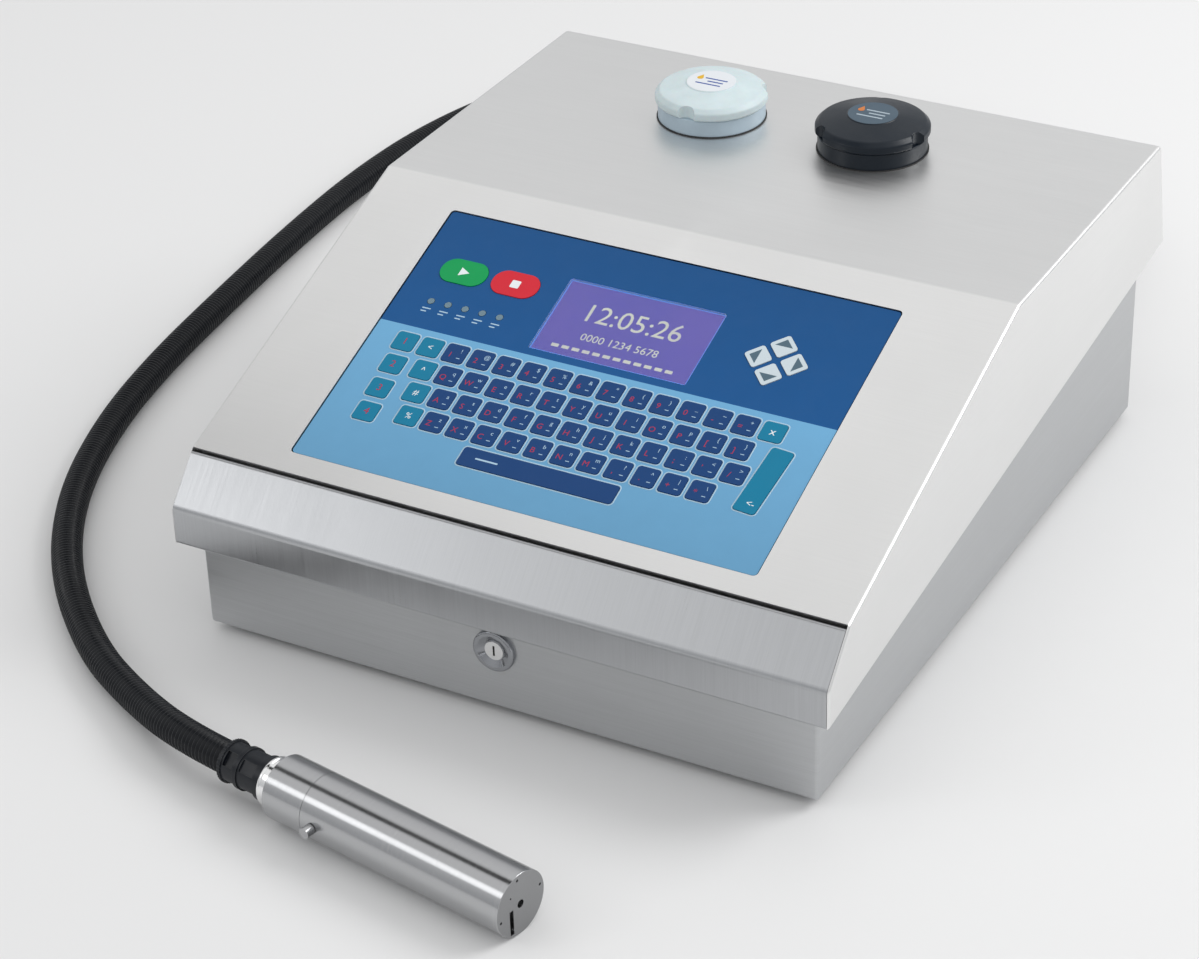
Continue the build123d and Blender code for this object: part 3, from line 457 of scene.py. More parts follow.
def plated(name, tint, roughness=0.12):
    """Chrome or nickel plate with fine handling marks."""
    material, graph, shader = surface(name, Metallic=1.0)
    place = graph.place()
    marks = graph.noise(place, 400.0, 5.0, 0.75)
    worn_and_highlit = graph.group("rubbed and highlit edges", Place=place, Width=0.0004, Amount=0.3).outputs["Mask"]
    base = graph.blend(marks, scaled(tint, 0.92), tint)
    # lighter edges: rubbed plate and a painted highlight along them
    graph.named(shader, Base_Color=graph.blend(worn_and_highlit, base, scaled(tint, 1.15)),
                Roughness=graph.remap(marks, 0.3, 0.7, roughness, roughness + 0.1),
                Normal=graph.bump(marks, 0.000002))
    return material


# ---- meshes --------------------------------------------------------------------------------------
def scene_object(name, data):
    """A new object, in the scene."""
    made = bpy.data.objects.new(name, data)
    bpy.context.scene.collection.objects.link(made)
    return made


def evaluated_mesh(data):
    """The final mesh of a curve or text."""
    maker = scene_object("maker", data)
    mesh = final_mesh(maker)
    bpy.data.objects.remove(maker)
    return mesh


def smooth_curve(name, points, resolution):
    """A curve with the points as its control points."""
    data = bpy.data.curves.new(name, "CURVE")
    data.dimensions = "3D"
    data.resolution_u = resolution
    spline = data.splines.new("NURBS")
    spline.points.add(len(points) - 1)
    for point, place in zip(spline.points, points):
        point.co = (*place, 1.0)
    spline.order_u = 3
    spline.use_endpoint_u = True
    return data


def final_mesh(maker):
    graph = bpy.context.evaluated_depsgraph_get()
    return bpy.data.meshes.new_from_object(maker.evaluated_get(graph), depsgraph=graph)


def gather(placed):
    """One mesh of (mesh, matrix) pairs."""
    whole = bmesh.new()
    for mesh, matrix in placed:
        part = bmesh.new()
        part.from_mesh(mesh)
        part.transform(matrix)
        copy = bpy.data.meshes.new("part")
        part.to_mesh(copy)
        part.free()
        whole.from_mesh(copy)
        bpy.data.meshes.remove(copy)
    made = bpy.data.meshes.new("gathered")
    whole.to_mesh(made)
    whole.free()
    return made


def piece(name, shape, material, body, smooth=None):
    """A finished piece that rides on a CAD body. shape is a mesh, or a list of (mesh, matrix) pairs,
    and smooth is the angle up to which edges shade round."""
    mesh = gather(shape) if isinstance(shape, list) else shape
    mesh.name = name
    mesh.materials.clear()
    mesh.materials.append(material)
    if smooth is not None:
        mesh.shade_smooth()
        mesh.set_sharp_from_angle(angle=math.radians(smooth))
    made = scene_object(name, mesh)
    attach(made, body)
    return made


def paint(material, *names):
    """Gives CAD nodes a material."""
    for name in names:
        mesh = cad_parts[name].data
        mesh.materials.clear()
        mesh.materials.append(material)


def lathe(profile, steps=48):
    """Turns (radius, height) points round Z into a closed mesh."""
    made = bmesh.new()
    rings = []
    for radius, height in profile:
        if radius < 1e-7:
            rings.append([made.verts.new((0, 0, height))])
            continue
        turns = [2 * math.pi * i / steps for i in range(steps)]
        rings.append([made.verts.new((radius * math.cos(a), radius * math.sin(a), height)) for a in turns])
    for lower, upper in zip(rings, rings[1:]):
        for i in range(steps):
            j = (i + 1) % steps
            corners = [lower[i % len(lower)], lower[j % len(lower)],
                       upper[j % len(upper)], upper[i % len(upper)]]
            made.faces.new(list(dict.fromkeys(corners)))
    for ring in (rings[0], rings[-1]):
        if len(ring) > 1:
            made.faces.new(ring)
    return finished(made, "turned")


def finished(made, name):
    """Writes a bmesh with outward normals to a mesh."""
    bmesh.ops.recalc_face_normals(made, faces=made.faces)
    mesh = bpy.data.meshes.new(name)
    made.to_mesh(mesh)
    made.free()
    return mesh


def raised(points, height):
    """A bmesh block on an outline of (x, y) points, standing on the XY plane."""
    made = bmesh.new()
    face = made.faces.new([made.verts.new((x, y, 0)) for x, y in points])
    grown_part = bmesh.ops.extrude_face_region(made, geom=[face])["geom"]
    top = [v for v in grown_part if isinstance(v, bmesh.types.BMVert)]
    bmesh.ops.translate(made, vec=(0, 0, height), verts=top)
    return made


def flat_shape(points, thickness=INK_FILM):
    """A thin plate with an outline of (x, y) points, standing on the XY plane."""
    return finished(raised(points, thickness), "plate")


def round_box(width, depth, height, radius):
    """A box with rounded upright corners and softened edges, standing on the XY plane."""
    made = raised(rounded_outline(width, depth, radius, 3), height)
    rims = [e for e in made.edges if abs(e.verts[0].co.z - e.verts[1].co.z) < 1e-9]
    softening = min(radius, height) * 0.25
    bmesh.ops.bevel(made, geom=rims, offset=softening, segments=2, affect="EDGES", profile=0.5)
    return finished(made, "box")


def rounded_outline(width, depth, radius, steps=4):
    points = []
    for quarter, (sx, sy) in enumerate(((1, 1), (-1, 1), (-1, -1), (1, -1))):
        cx, cy = sx * (width / 2 - radius), sy * (depth / 2 - radius)
        for i in range(steps + 1):
            a = math.pi / 2 * (quarter + i / steps)
            points.append((cx + radius * math.cos(a), cy + radius * math.sin(a)))
    return points


def lettering(words, height):
    """Generic characters as a thin mesh centred on its origin."""
    data = bpy.data.curves.new("lettering", "FONT")
    data.body = words
    data.size = height
    data.align_x = "CENTER"
    data.align_y = "CENTER"
    data.resolution_u = 3
    data.extrude = INK_FILM / 2
    return evaluated_mesh(data)


def islands(node, turn=0.0):
    """Boxes of a CAD node's separate solids in the keyboard's frame, as (centre, half size) pairs."""
    made = bmesh.new()
    made.from_mesh(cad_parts[node].data)
    bmesh.ops.remove_doubles(made, verts=made.verts, dist=1e-6)
    into = Matrix.Rotation(-turn, 4, "Z") @ FACE.inverted()
    found, seen = [], set()
    for start in made.verts:
        if start in seen:
            continue
        group, edge = [], [start]
        seen.add(start)
        while edge:
            vertex = edge.pop()
            group.append(into @ vertex.co)
            for other in (e.other_vert(vertex) for e in vertex.link_edges):
                if other not in seen:
                    seen.add(other)
                    edge.append(other)
        low = Vector([min(p[i] for p in group) for i in range(3)])
        high = Vector([max(p[i] for p in group) for i in range(3)])
        found.append((Matrix.Rotation(turn, 3, "Z") @ ((low + high) / 2), (high - low) / 2))
    made.free()
    return sorted(found, key=lambda pair: (-round(pair[0].y, 3), pair[0].x))


def keyboard_frame():
    """The overlay's upper face as a frame: X across, Y up the slope, Z out of it."""
    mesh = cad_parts["keyboard_overlay"].data
    facing = [p for p in mesh.polygons if p.normal.z > 0.8]
    largest = max(facing, key=lambda p: p.area)
    normal = largest.normal.copy()
    corners = [mesh.vertices[i].co for i in largest.vertices]
    level = corners[0].dot(normal)
    low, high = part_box("keyboard_overlay")
    across = Vector((1, 0, 0))
    upward = normal.cross(across)
    middle = (low + high) / 2
    middle += normal * (level - middle.dot(normal))
    return Matrix.Translation(middle) @ Matrix((across, upward, normal)).transposed().to_4x4()


FACE = keyboard_frame()


def on_face(x, y, height, turn=0.0):
    return FACE @ Matrix.Translation((x, y, height)) @ Matrix.Rotation(turn, 4, "Z")


# ---- geometry node trees -------------------------------------------------------------------------
def geometry_tree(name, sizes):
    """A geometry tree whose inputs are the geometry, the named sizes and a material."""
    tree = bpy.data.node_groups.new(name, "GeometryNodeTree")
    tree.interface.new_socket("Geometry", in_out="INPUT", socket_type="NodeSocketGeometry")
    for label, default in sizes.items():
        kind = {int: "NodeSocketInt", float: "NodeSocketFloat", tuple: "NodeSocketVector"}.get(
            type(default), "NodeSocketObject")
        socket = tree.interface.new_socket(label, in_out="INPUT", socket_type=kind)
        if default is not None:
            socket.default_value = default
    tree.interface.new_socket("Material", in_out="INPUT", socket_type="NodeSocketMaterial")
    tree.interface.new_socket("Geometry", in_out="OUTPUT", socket_type="NodeSocketGeometry")
    graph = Graph(tree)
    given = tree.nodes.new("NodeGroupInput").outputs
    return graph, given, tree.nodes.new("NodeGroupOutput")


def end_tree(graph, given, result, shape):
    real = graph.node("GeometryNodeRealizeInstances", shape)
    coated = graph.named(graph.node("GeometryNodeSetMaterial"), Geometry=real, Material=given["Material"])
    graph.feed(result.inputs[0], coated)
    return graph.tree


def grown(tree, source, material, **values):
    """Runs a tree on a mesh and returns the final mesh; values are its inputs by name."""
    maker = scene_object("maker", source)
    modifier = maker.modifiers.new("grow", "NODES")
    modifier.node_group = tree
    values["Material"] = material
    for item in tree.interface.items_tree:
        label = item.name.replace(" ", "_")
        if item.in_out == "INPUT" and label in values:
            modifier[item.identifier] = values[label]
    mesh = final_mesh(maker)
    maker.modifiers.clear()
    bpy.data.objects.remove(maker)
    return mesh


def ribbed_hose_tree():
    """A corrugated hose that follows the edges of a mesh."""
    graph, given, result = geometry_tree(
        "ribbed hose", {"Radius": 0.0106, "Pitch": 0.0031, "Groove": 0.0013, "Sides": 24})
    line = graph.node("GeometryNodeMeshToCurve", given["Geometry"])
    length = graph.node("GeometryNodeCurveLength", line)
    ribs = graph.math("ROUND", graph.math("DIVIDE", length, given["Pitch"]))
    count = graph.math("ADD", graph.math("MULTIPLY", ribs, float(RINGS_PER_RIB)), 1.0)
    rings = graph.named(graph.node("GeometryNodeResampleCurve", mode="COUNT"), Curve=line, Count=count)
    step = graph.math("MODULO", graph.node("GeometryNodeInputIndex"), float(RINGS_PER_RIB))
    sunk = graph.math("GREATER_THAN", step, RINGS_PER_RIB / 2 - 0.5)
    radius = graph.math("SUBTRACT", given["Radius"], graph.math("MULTIPLY", sunk, given["Groove"]))
    outline = graph.named(graph.node("GeometryNodeCurvePrimitiveCircle"), Resolution=given["Sides"],
                          Radius=1.0)
    tube = graph.named(graph.node("GeometryNodeCurveToMesh"), Curve=rings, Profile_Curve=outline,
                       Scale=radius, Fill_Caps=True)
    return end_tree(graph, given, result, graph.node("GeometryNodeSetShadeSmooth", tube))


def key_outline_tree():
    """A printed line round each key, one at each point of a mesh."""
    graph, given, result = geometry_tree(
        "key outlines", {"Width": 0.016, "Height": 0.016, "Corner": 0.0025, "Line": 0.0008,
                         "Thickness": INK_FILM, "Turn": (0.0, 0.0, 0.0)})
    ring = graph.node("GeometryNodeCurvePrimitiveQuadrilateral", given["Width"], given["Height"])
    ring = graph.named(graph.node("GeometryNodeFilletCurve", mode="POLY"), Curve=ring, Count=5,
                       Radius=given["Corner"])
    section = graph.node("GeometryNodeCurvePrimitiveQuadrilateral", given["Line"], given["Thickness"])
    band = graph.named(graph.node("GeometryNodeCurveToMesh"), Curve=ring, Profile_Curve=section)
    spread = graph.named(graph.node("GeometryNodeInstanceOnPoints"), Points=given["Geometry"], Instance=band,
                         Rotation=given["Turn"])
    return end_tree(graph, given, result, spread)


def hardware_tree():
    """One copy of a fastener at each point, its head along the point's facing vector."""
    graph, given, result = geometry_tree("hardware", {"Fastener": None, "Scale": 1.0})
    source = graph.node("GeometryNodeObjectInfo", given["Fastener"])
    facing = graph.node("GeometryNodeInputNamedAttribute", "facing", data_type="FLOAT_VECTOR")
    aim = graph.named(graph.node("FunctionNodeAlignRotationToVector", axis="Z"), Vector=facing.outputs[0])
    spread = graph.named(graph.node("GeometryNodeInstanceOnPoints"), Points=given["Geometry"],
                         Instance=source.outputs["Geometry"], Rotation=aim, Scale=given["Scale"])
    return end_tree(graph, given, result, spread)


def small_parts_tree():
    """Little components scattered over the points of a board, with a fixed seed."""
    graph, given, result = geometry_tree(
        "small parts", {"Seed": 3, "Share": 0.35, "Size": (0.002, 0.0012, 0.0008)})
    keep = graph.node("FunctionNodeRandomValue", data_type="BOOLEAN")
    graph.feed(keep.inputs["Probability"], given["Share"])
    graph.feed(keep.inputs["Seed"], given["Seed"])
    quarter = graph.node("FunctionNodeRandomValue", data_type="INT")
    graph.feed(quarter.inputs[4], 0)
    graph.feed(quarter.inputs[5], 1)
    graph.feed(quarter.inputs["Seed"], given["Seed"])
    angle = graph.math("MULTIPLY", quarter.outputs[2], math.pi / 2)
    chip = graph.node("GeometryNodeMeshCube", given["Size"])
    spread = graph.named(graph.node("GeometryNodeInstanceOnPoints"), Points=given["Geometry"],
                         Selection=keep.outputs[3], Instance=chip.outputs[0],
                         Rotation=graph.node("ShaderNodeCombineXYZ", 0.0, 0.0, angle))
    return end_tree(graph, given, result, spread)


def points_mesh(points, facing=None):
    mesh = bpy.data.meshes.new("points")
    mesh.from_pydata([tuple(p) for p in points], [], [])
    if facing is not None:
        attribute = mesh.attributes.new("facing", "FLOAT_VECTOR", "POINT")
        attribute.data.foreach_set("vector", [c for direction in facing for c in direction])
    return mesh


def pan_head_screw():
    """A pan head of radius 1 with a cross recess, standing on the XY plane."""
    top = 0.62
    crown = [(0.0, 0.0), (1.0, 0.0), (1.0, 0.18), (0.88, 0.38), (0.65, 0.53), (0.35, 0.60), (0.0, top)]
    head = scene_object("screw", lathe(crown, 20))
    cutter = bmesh.new()
    for turn in (0, math.pi / 2):
        arm = Matrix.Rotation(turn, 4, "Z") @ Matrix.Translation((0, 0, top))
        bmesh.ops.create_cube(cutter, size=1.0, matrix=arm @ Matrix.Diagonal((1.1, 0.24, 0.55, 1)))
    tool = scene_object("cutter", finished(cutter, "cutter"))
    cut = head.modifiers.new("recess", "BOOLEAN")
    cut.object = tool
    cut.use_self = True
    mesh = final_mesh(head)
    for made in (head, tool):
        bpy.data.objects.remove(made)
    return mesh


# ---- pieces --------------------------------------------------------------------------------------
def settings(name):
    return getattr(bpy.context.scene, name)


def aim(direction, place):
    """A frame at a place whose Z axis points along a direction."""
    turn = Vector(direction).to_track_quat("Z", "Y").to_matrix().to_4x4()
    return Matrix.Translation(place) @ turn


class PrinterOperator(bpy.types.Operator):
    """Shared base of the printer's operators"""

    bl_options = {"REGISTER", "UNDO"}

    def execute(self, context):
        self.build()
        return {"FINISHED"}


class PRINTER_OT_camera(PrinterOperator):
    """Set the camera above the keyboard's right front corner"""

    bl_idname = "printer.camera"
    bl_label = "Camera"

    LENS = 97.37  # millimetres, for a sensor 36 mm wide
    PLACE = (0.87005, -1.64721, 1.177)
    RIGHT = (0.87759068, 0.47855756, -0.02858777)
    UPWARD = (-0.22872898, 0.47036389, 0.852315)

    def build(self):
        data = bpy.data.cameras.new("camera")
        data.sensor_width = 36.0
        data.lens = self.LENS
        camera = scene_object("camera", data)
        right, upward = Vector(self.RIGHT), Vector(self.UPWARD)
        turn = Matrix((right, upward, right.cross(upward))).transposed()
        camera.matrix_world = Matrix.Translation(self.PLACE) @ turn.to_4x4()
        bpy.context.scene.camera = camera


class PRINTER_OT_conduit(PrinterOperator):
    """Make the ribbed conduit between the cabinet and the print head"""

    bl_idname = "printer.conduit"
    bl_label = "Umbilical conduit"

    GRIP_START = -43.4 * MM  # where the connector's teeth start, from the head's rear
    GRIP_RADIUS = 13.7 * MM
    GRIP_TEETH = 40
    # Rings round the head, as (radius, place along the head) points in millimetres.
    NECK = ((15.1, -9.0), (15.7, -8.8), (16.1, -8.2), (16.1, -7.2), (15.8, -6.6), (15.5, -6.3),
            (15.5, -0.1), (15.1, -0.1))
    SEAL = ((18.0, 30.99), (20.55, 30.99), (20.55, 31.28), (18.0, 31.28))

    def build(self):
        sizes = settings("printer_conduit")
        nylon = moulded("ribbed nylon", sizes.nylon, 0.30, 1500.0, 0.00001, wear_and_highlight=0.0,
                        Specular_IOR_Level=0.28)
        line = evaluated_mesh(smooth_curve("conduit line", CONDUIT_ROUTE, 16))
        hose = grown(ribbed_hose_tree(), line, nylon, Radius=sizes.diameter / 2, Pitch=sizes.rib_pitch,
                     Groove=sizes.groove)
        made = piece("ribbed_conduit", hose, nylon, "base")
        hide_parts("umbilical_conduit")
        fitting = moulded("nylon fittings", scaled(sizes.nylon, 1.6), 0.36, 1500.0, wear_and_highlight=0.2,
                          Specular_IOR_Level=0.35)
        paint(fitting, "conduit_connector", "umbilical_gland")
        bright = plated("bright neck ring", (0.93, 0.93, 0.93, 1), 0.1)
        rubber = moulded("head seal", (0.012, 0.012, 0.012, 1), 0.6)
        on_it = [
            piece("connector_grip_ribs", self.grip_ribs(), fitting, "base", 30),
            piece("head_neck_ring", self.ring(self.NECK), bright, "base", 35),
            piece("head_joint_seal", self.ring(self.SEAL), rubber, "base", 30),
            *ON_CONDUIT,
        ]

    def grip_ribs(self):
        """Fine teeth round the connector's release ring."""
        tooth = round_box(0.8 * MM, 1.0 * MM, 2.2 * MM, 0.2 * MM)
        lying = Matrix.Translation((self.GRIP_START, 0, self.GRIP_RADIUS)) @ ALONG_X
        turns = [2 * math.pi * i / self.GRIP_TEETH for i in range(self.GRIP_TEETH)]
        return [(tooth, HEAD_FRAME @ Matrix.Rotation(turn, 4, "X") @ lying) for turn in turns]

    def ring(self, profile):
        """A ring turned on the head's axis."""
        return [(lathe([(r * MM, x * MM) for r, x in profile], 96), HEAD_FRAME @ ALONG_X)]


class PRINTER_OT_cabinet(PrinterOperator):
    """Finish the sheet steel of the cabinet and lid, and its feet, seal, hinges and lock"""

    bl_idname = "printer.cabinet"
    bl_label = "Cabinet"

    def build(self):
        steel = settings("printer_steel")
        rough = steel.roughness
        paint(satin_lid("satin steel lid", steel.lid, rough), "lid_shell")
        # darker copies of the lid's steel on the trim and base: painted shade
        trim = brushed_steel("upright grain steel", steel.trim, (2200, 30, 30), (1, 0, 0), rough - 0.04)
        paint(trim, "front_trim")
        sheet = brushed_steel("level grain steel", steel.cabinet, (30, 30, 2200), (0, 0, 1), rough)
        paint(sheet, "base_tray")
        # the fittings take the base's painted shade too
        tint = scaled(steel.cabinet, 0.95)
        plate = brushed_steel("rolled steel fittings", tint, (60, 900, 900), (0, 1, 0), 0.3)
        paint(plate, "hinge_base_leaves", "hinge_lid_leaves", "hinge_pins", "lid_stay", "lock_catch")
        paint(plated("dark chrome lock", (0.36, 0.37, 0.39, 1)), "lock_body")
        paint(plated("chrome barrel", (0.80, 0.80, 0.80, 1)), "lock_barrel")
        rubber = moulded("moulded rubber", (0.018, 0.018, 0.019, 1), 0.65, 1200.0, 0.00004)
        paint(rubber, "feet", "lid_gasket", "filler_gaskets")


class PRINTER_OT_keyboard(PrinterOperator):
    """Finish the overlay and keys, and print their outlines and legends"""

    bl_idname = "printer.keyboard"
    bl_label = "Keyboard"

    RED_ROWS = ("1234567890-=", "QWERTYUIOP[]", "ASDFGHJKL;'/", "ZXCVBNM,.+*")
    PALE_ROWS = ("!@#$%&*()_~+", "qwertyuiop{}", "asdfghjkl:<>", "zxcvbnm?^|\\")
    ROW_GAP = 6  # millimetres; keys nearer than this up the slope are one row
    ZONE_SPLIT = 8.7 * MM  # from the overlay's middle up to the colour change
    ARROWS = ("arrow_key_up", "arrow_key_right", "arrow_key_down", "arrow_key_left")

    def build(self):
        look = settings("printer_keyboard")
        overlay = two_tone_film("overlay film", look.dark_film, look.light_film, self.ZONE_SPLIT)
        paint(overlay, "keyboard_overlay")
        paint(printed_film("navy film", look.navy), "letter_keys", "space_bar")
        teal = printed_film("teal film", look.teal)
        paint(teal, "function_keys", "control_keys", "delete_key", "enter_key")
        paint(printed_film("green film", look.start), "start_key")
        paint(printed_film("red film", look.stop), "stop_key")
        paint(printed_film("white film", shade(206, 218, 224)), *self.ARROWS)
        paint(clear_plastic("lamp lens", shade(128, 160, 176)), "status_lamps")
        self.pale = printed_film("pale print", look.pale_print)
        self.red = printed_film("red print", look.red_print)
        self.white = printed_film("white print", shade(236, 242, 244))
        self.slate = printed_film("slate print", shade(84, 108, 122))
        self.outlines(look)
        self.letter_legends()
        self.command_legends()
        self.lamp_marks()

    def outlines(self, look):
        """A pale line round every key, on the overlay."""
        tree = key_outline_tree()
        margin = look.outline + 0.5 * MM
        placed = []
        for node in ("letter_keys", "function_keys", "control_keys", "delete_key", "space_bar", "enter_key"):
            turn = ENTER_TURN if node == "enter_key" else 0.0
            found = islands(node, turn)
            half = found[0][1]
            points = [on_face(c.x, c.y, INK_FILM / 2).translation for c, _ in found]
            facing = (FACE @ Matrix.Rotation(turn, 4, "Z")).to_euler()
            mesh = grown(tree, points_mesh(points), self.pale, Width=2 * half.x + margin,
                         Height=2 * half.y + margin, Corner=2.7 * MM, Line=look.outline, Turn=tuple(facing))
            placed.append((mesh, Matrix.Identity(4)))
        piece("key_outlines", placed, self.pale, "lid")

    def letter_legends(self):
        """A red character low on the left of each letter key, and a pale one above a dash on its right."""
        rows = {}
        for centre, half in islands("letter_keys"):
            rows.setdefault(round(centre.y / MM / self.ROW_GAP), []).append((centre, half))
        dash = flat_shape([(x * 1.3 * MM, y * 0.25 * MM) for x, y in SQUARE])
        red, pale = [], []
        ordered = [rows[k] for k in sorted(rows, reverse=True)]
        for row, red_marks, pale_marks in zip(ordered, self.RED_ROWS, self.PALE_ROWS):
            for (centre, half), red_mark, pale_mark in zip(row, red_marks, pale_marks):
                top = centre.z + half.z
                left, right = centre.x - 3.0 * MM, centre.x + 3.6 * MM
                red.append((lettering(red_mark, 6.0 * MM), on_face(left, centre.y - 1.6 * MM, top)))
                pale.append((lettering(pale_mark, 4.4 * MM), on_face(right, centre.y + 2.6 * MM, top)))
                pale.append((dash, on_face(right, centre.y - 3.4 * MM, top)))
        piece("letter_key_red_legends", red, self.red, "letter_keys")
        piece("letter_key_pale_legends", pale, self.pale, "letter_keys")

    def on_key(self, node, mesh, dx=0.0, dy=0.0, turn=0.0, index=0):
        """A mark and its place on a key's top."""
        centre, half = islands(node)[index]
        return mesh, on_face(centre.x + dx, centre.y + dy, centre.z + half.z, turn)

    def command_legends(self):
        """Marks on the start, stop, arrow, function and editing keys."""
        play = flat_shape([(-3 * MM, -3.6 * MM), (4 * MM, 0), (-3 * MM, 3.6 * MM)])
        halt = flat_shape(rounded_outline(6.4 * MM, 6.4 * MM, 0.8 * MM))
        piece("start_mark", [self.on_key("start_key", play)], self.white, "start_key")
        piece("stop_mark", [self.on_key("stop_key", halt)], self.white, "stop_key")
        leg = 4.3 * MM
        corner = flat_shape([(-leg, leg), (leg, -leg), (leg, leg)])
        for i, node in enumerate(self.ARROWS):
            mark = self.on_key(node, corner, turn=math.radians(45 - 90 * i))
            piece(f"{node}_mark", [mark], self.slate, node)
        digits = [self.on_key("function_keys", lettering(str(i + 1), 7.5 * MM), index=i) for i in range(4)]
        piece("function_key_legends", digits, self.red, "function_keys")
        signs = [self.on_key("control_keys", lettering(sign, 6.5 * MM), index=i)
                 for i, sign in enumerate("<^#%")]
        piece("control_key_legends", signs, self.white, "control_keys")
        cross = self.on_key("delete_key", lettering("x", 8.0 * MM))
        piece("delete_key_legend", [cross], self.white, "delete_key")
        back = self.on_key("enter_key", lettering("<-", 6.5 * MM), dy=-19 * MM, turn=ENTER_TURN)
        piece("enter_key_legend", [back], self.white, "enter_key")
        bar = flat_shape(rounded_outline(16 * MM, 1.2 * MM, 0.5 * MM))
        dash = self.on_key("space_bar", bar, dx=-36 * MM)
        piece("space_bar_legend", [dash], self.pale, "space_bar")

    def lamp_marks(self):
        """Two short bars under each status lamp."""
        long_bar, short_bar = (flat_shape(rounded_outline(width * MM, 0.9 * MM, 0.4 * MM))
                               for width in (6.4, 4.2))
        placed = []
        for centre, _ in islands("status_lamps"):
            placed.append((long_bar, on_face(centre.x, centre.y - 6.4 * MM, 0)))
            placed.append((short_bar, on_face(centre.x - 1.1 * MM, centre.y - 9.0 * MM, 0)))
        piece("lamp_marks", placed, self.pale, "lid")


class PRINTER_OT_display(PrinterOperator):
    """Light the display behind its glass, with generic digits on it"""

    bl_idname = "printer.display"
    bl_label = "Display"

    def build(self):
        look = settings("printer_keyboard")
        paint(display_glass("display glass"), "display_window")
        paint(circuit_board("display board"), "display_module")
        (window, half), = islands("display_window")
        floor = window.z - half.z - 0.28 * MM
        width, depth = 2 * half.x - 0.4 * MM, 2 * half.y - 0.4 * MM

        def spot(x, y, lift):
            return on_face(window.x + x, window.y + y, floor + lift)

        panel = flat_shape(rounded_outline(width, depth, 1.6 * MM), 0.1 * MM)
        lit = lit_panel("lit display", look.screen, 0.34)
        piece("display_panel", [(panel, spot(0, 0, 0))], lit, "lid")
        edge = [(strip, spot(x, y, 0.11 * MM)) for strip, x, y in self.border(width, depth)]
        blue = lit_panel("lit border", shade(52, 128, 220), 0.5)
        piece("display_border", edge, blue, "lid")
        level = 0.12 * MM
        placed = [(lettering("12:05:26", 21 * MM), spot(0, 7 * MM, level)),
                  (lettering("0000 1234 5678", 8.5 * MM), spot(0, -12.5 * MM, level))]
        bar = flat_shape(rounded_outline(5.2 * MM, 2.6 * MM, 0.4 * MM))
        placed += [(bar, spot((i - 5.5) * 7.4 * MM, -23.5 * MM, level)) for i in range(12)]
        pale = lit_panel("lit characters", shade(196, 200, 180), 0.55)
        piece("display_characters", placed, pale, "lid")

    def border(self, width, depth):
        """The four bright strips along the display's edges."""
        line = 1.1 * MM
        level = flat_shape(rounded_outline(width - 2 * line, line, 0.3 * MM))
        upright = flat_shape(rounded_outline(line, depth, 0.3 * MM))
        return [(level, 0, (depth - line) / 2), (level, 0, -(depth - line) / 2),
                (upright, (width - line) / 2, 0), (upright, -(width - line) / 2, 0)]


class PRINTER_OT_fillers(PrinterOperator):
    """Finish the two fluid fillers and put a label on each cap"""

    bl_idname = "printer.fillers"
    bl_label = "Fluid fillers"

    LABEL_RADIUS = 17.0 * MM
    LABEL_TOP = 0.16 * MM  # the label's thickness
    BARS = ((17, 2.5, 3.2), (12, 3.5, -1.2), (19, 0, -5.8))  # (width, x, y) in millimetres

    def build(self):
        look = settings("printer_fluid")
        pale = moulded("pale moulded cap", look.solvent, 0.42, 1500.0, 0.00003, wear_and_highlight=0.1,
                       Subsurface_Weight=0.08, Subsurface_Scale=0.004)
        collar = moulded("pale moulded collar", shade(178, 196, 208), 0.4, 1500.0, wear_and_highlight=0.1)
        paint(pale, "solvent_cap", "solvent_cap_liner", "ink_cap_liner")
        paint(collar, "solvent_collar")
        # the blue in the ink tint is painted reflection
        dark = moulded("black moulded cap", look.ink, 0.34, 1500.0, 0.00003, wear_and_highlight=0.1,
                       Specular_IOR_Level=0.35)
        paint(dark, "ink_cap", "ink_collar")
        self.label("solvent", shade(226, 230, 234), shade(52, 84, 160), shade(226, 178, 40))
        self.label("ink", shade(74, 92, 106), shade(172, 186, 196), shade(206, 122, 60))

    def label(self, fluid, paper, print_tone, accent):
        """A round label with a drop and three bars."""
        low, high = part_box(f"{fluid}_cap_liner")
        middle = (low + high) / 2
        seat = Matrix.Translation((middle.x, middle.y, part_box(f"{fluid}_cap")[1].z))
        r, top = self.LABEL_RADIUS, self.LABEL_TOP
        disc = lathe([(0, 0), (r, 0), (r, 0.10 * MM), (r - 0.1 * MM, top), (0, top)], 64)
        bars = [(flat_shape(rounded_outline(width * MM, 1.5 * MM, 0.6 * MM)), self.on_label(seat, x, y))
                for width, x, y in self.BARS]
        drop = (flat_shape(self.drop_outline(2.3 * MM)), self.on_label(seat, -9.5, 2.0))
        for ending, shape, finish, tone in (("", [(disc, seat)], "label", paper),
                                            ("_bars", bars, "label print", print_tone),
                                            ("_drop", [drop], "drop print", accent)):
            film = printed_film(f"{fluid} {finish}", tone)
            piece(f"{fluid}_label{ending}", shape, film, f"{fluid}_cap")

    def on_label(self, seat, x, y):
        """A place on the label's face, in millimetres from its middle."""
        return seat @ Matrix.Translation((x * MM, y * MM, self.LABEL_TOP))

    def drop_outline(self, r):
        """A drop: a circle below a point."""
        turns = [math.radians(a) for a in range(150, 391, 20)]
        return [(0, 2.4 * r)] + [(r * math.cos(a), r * math.sin(a)) for a in turns]


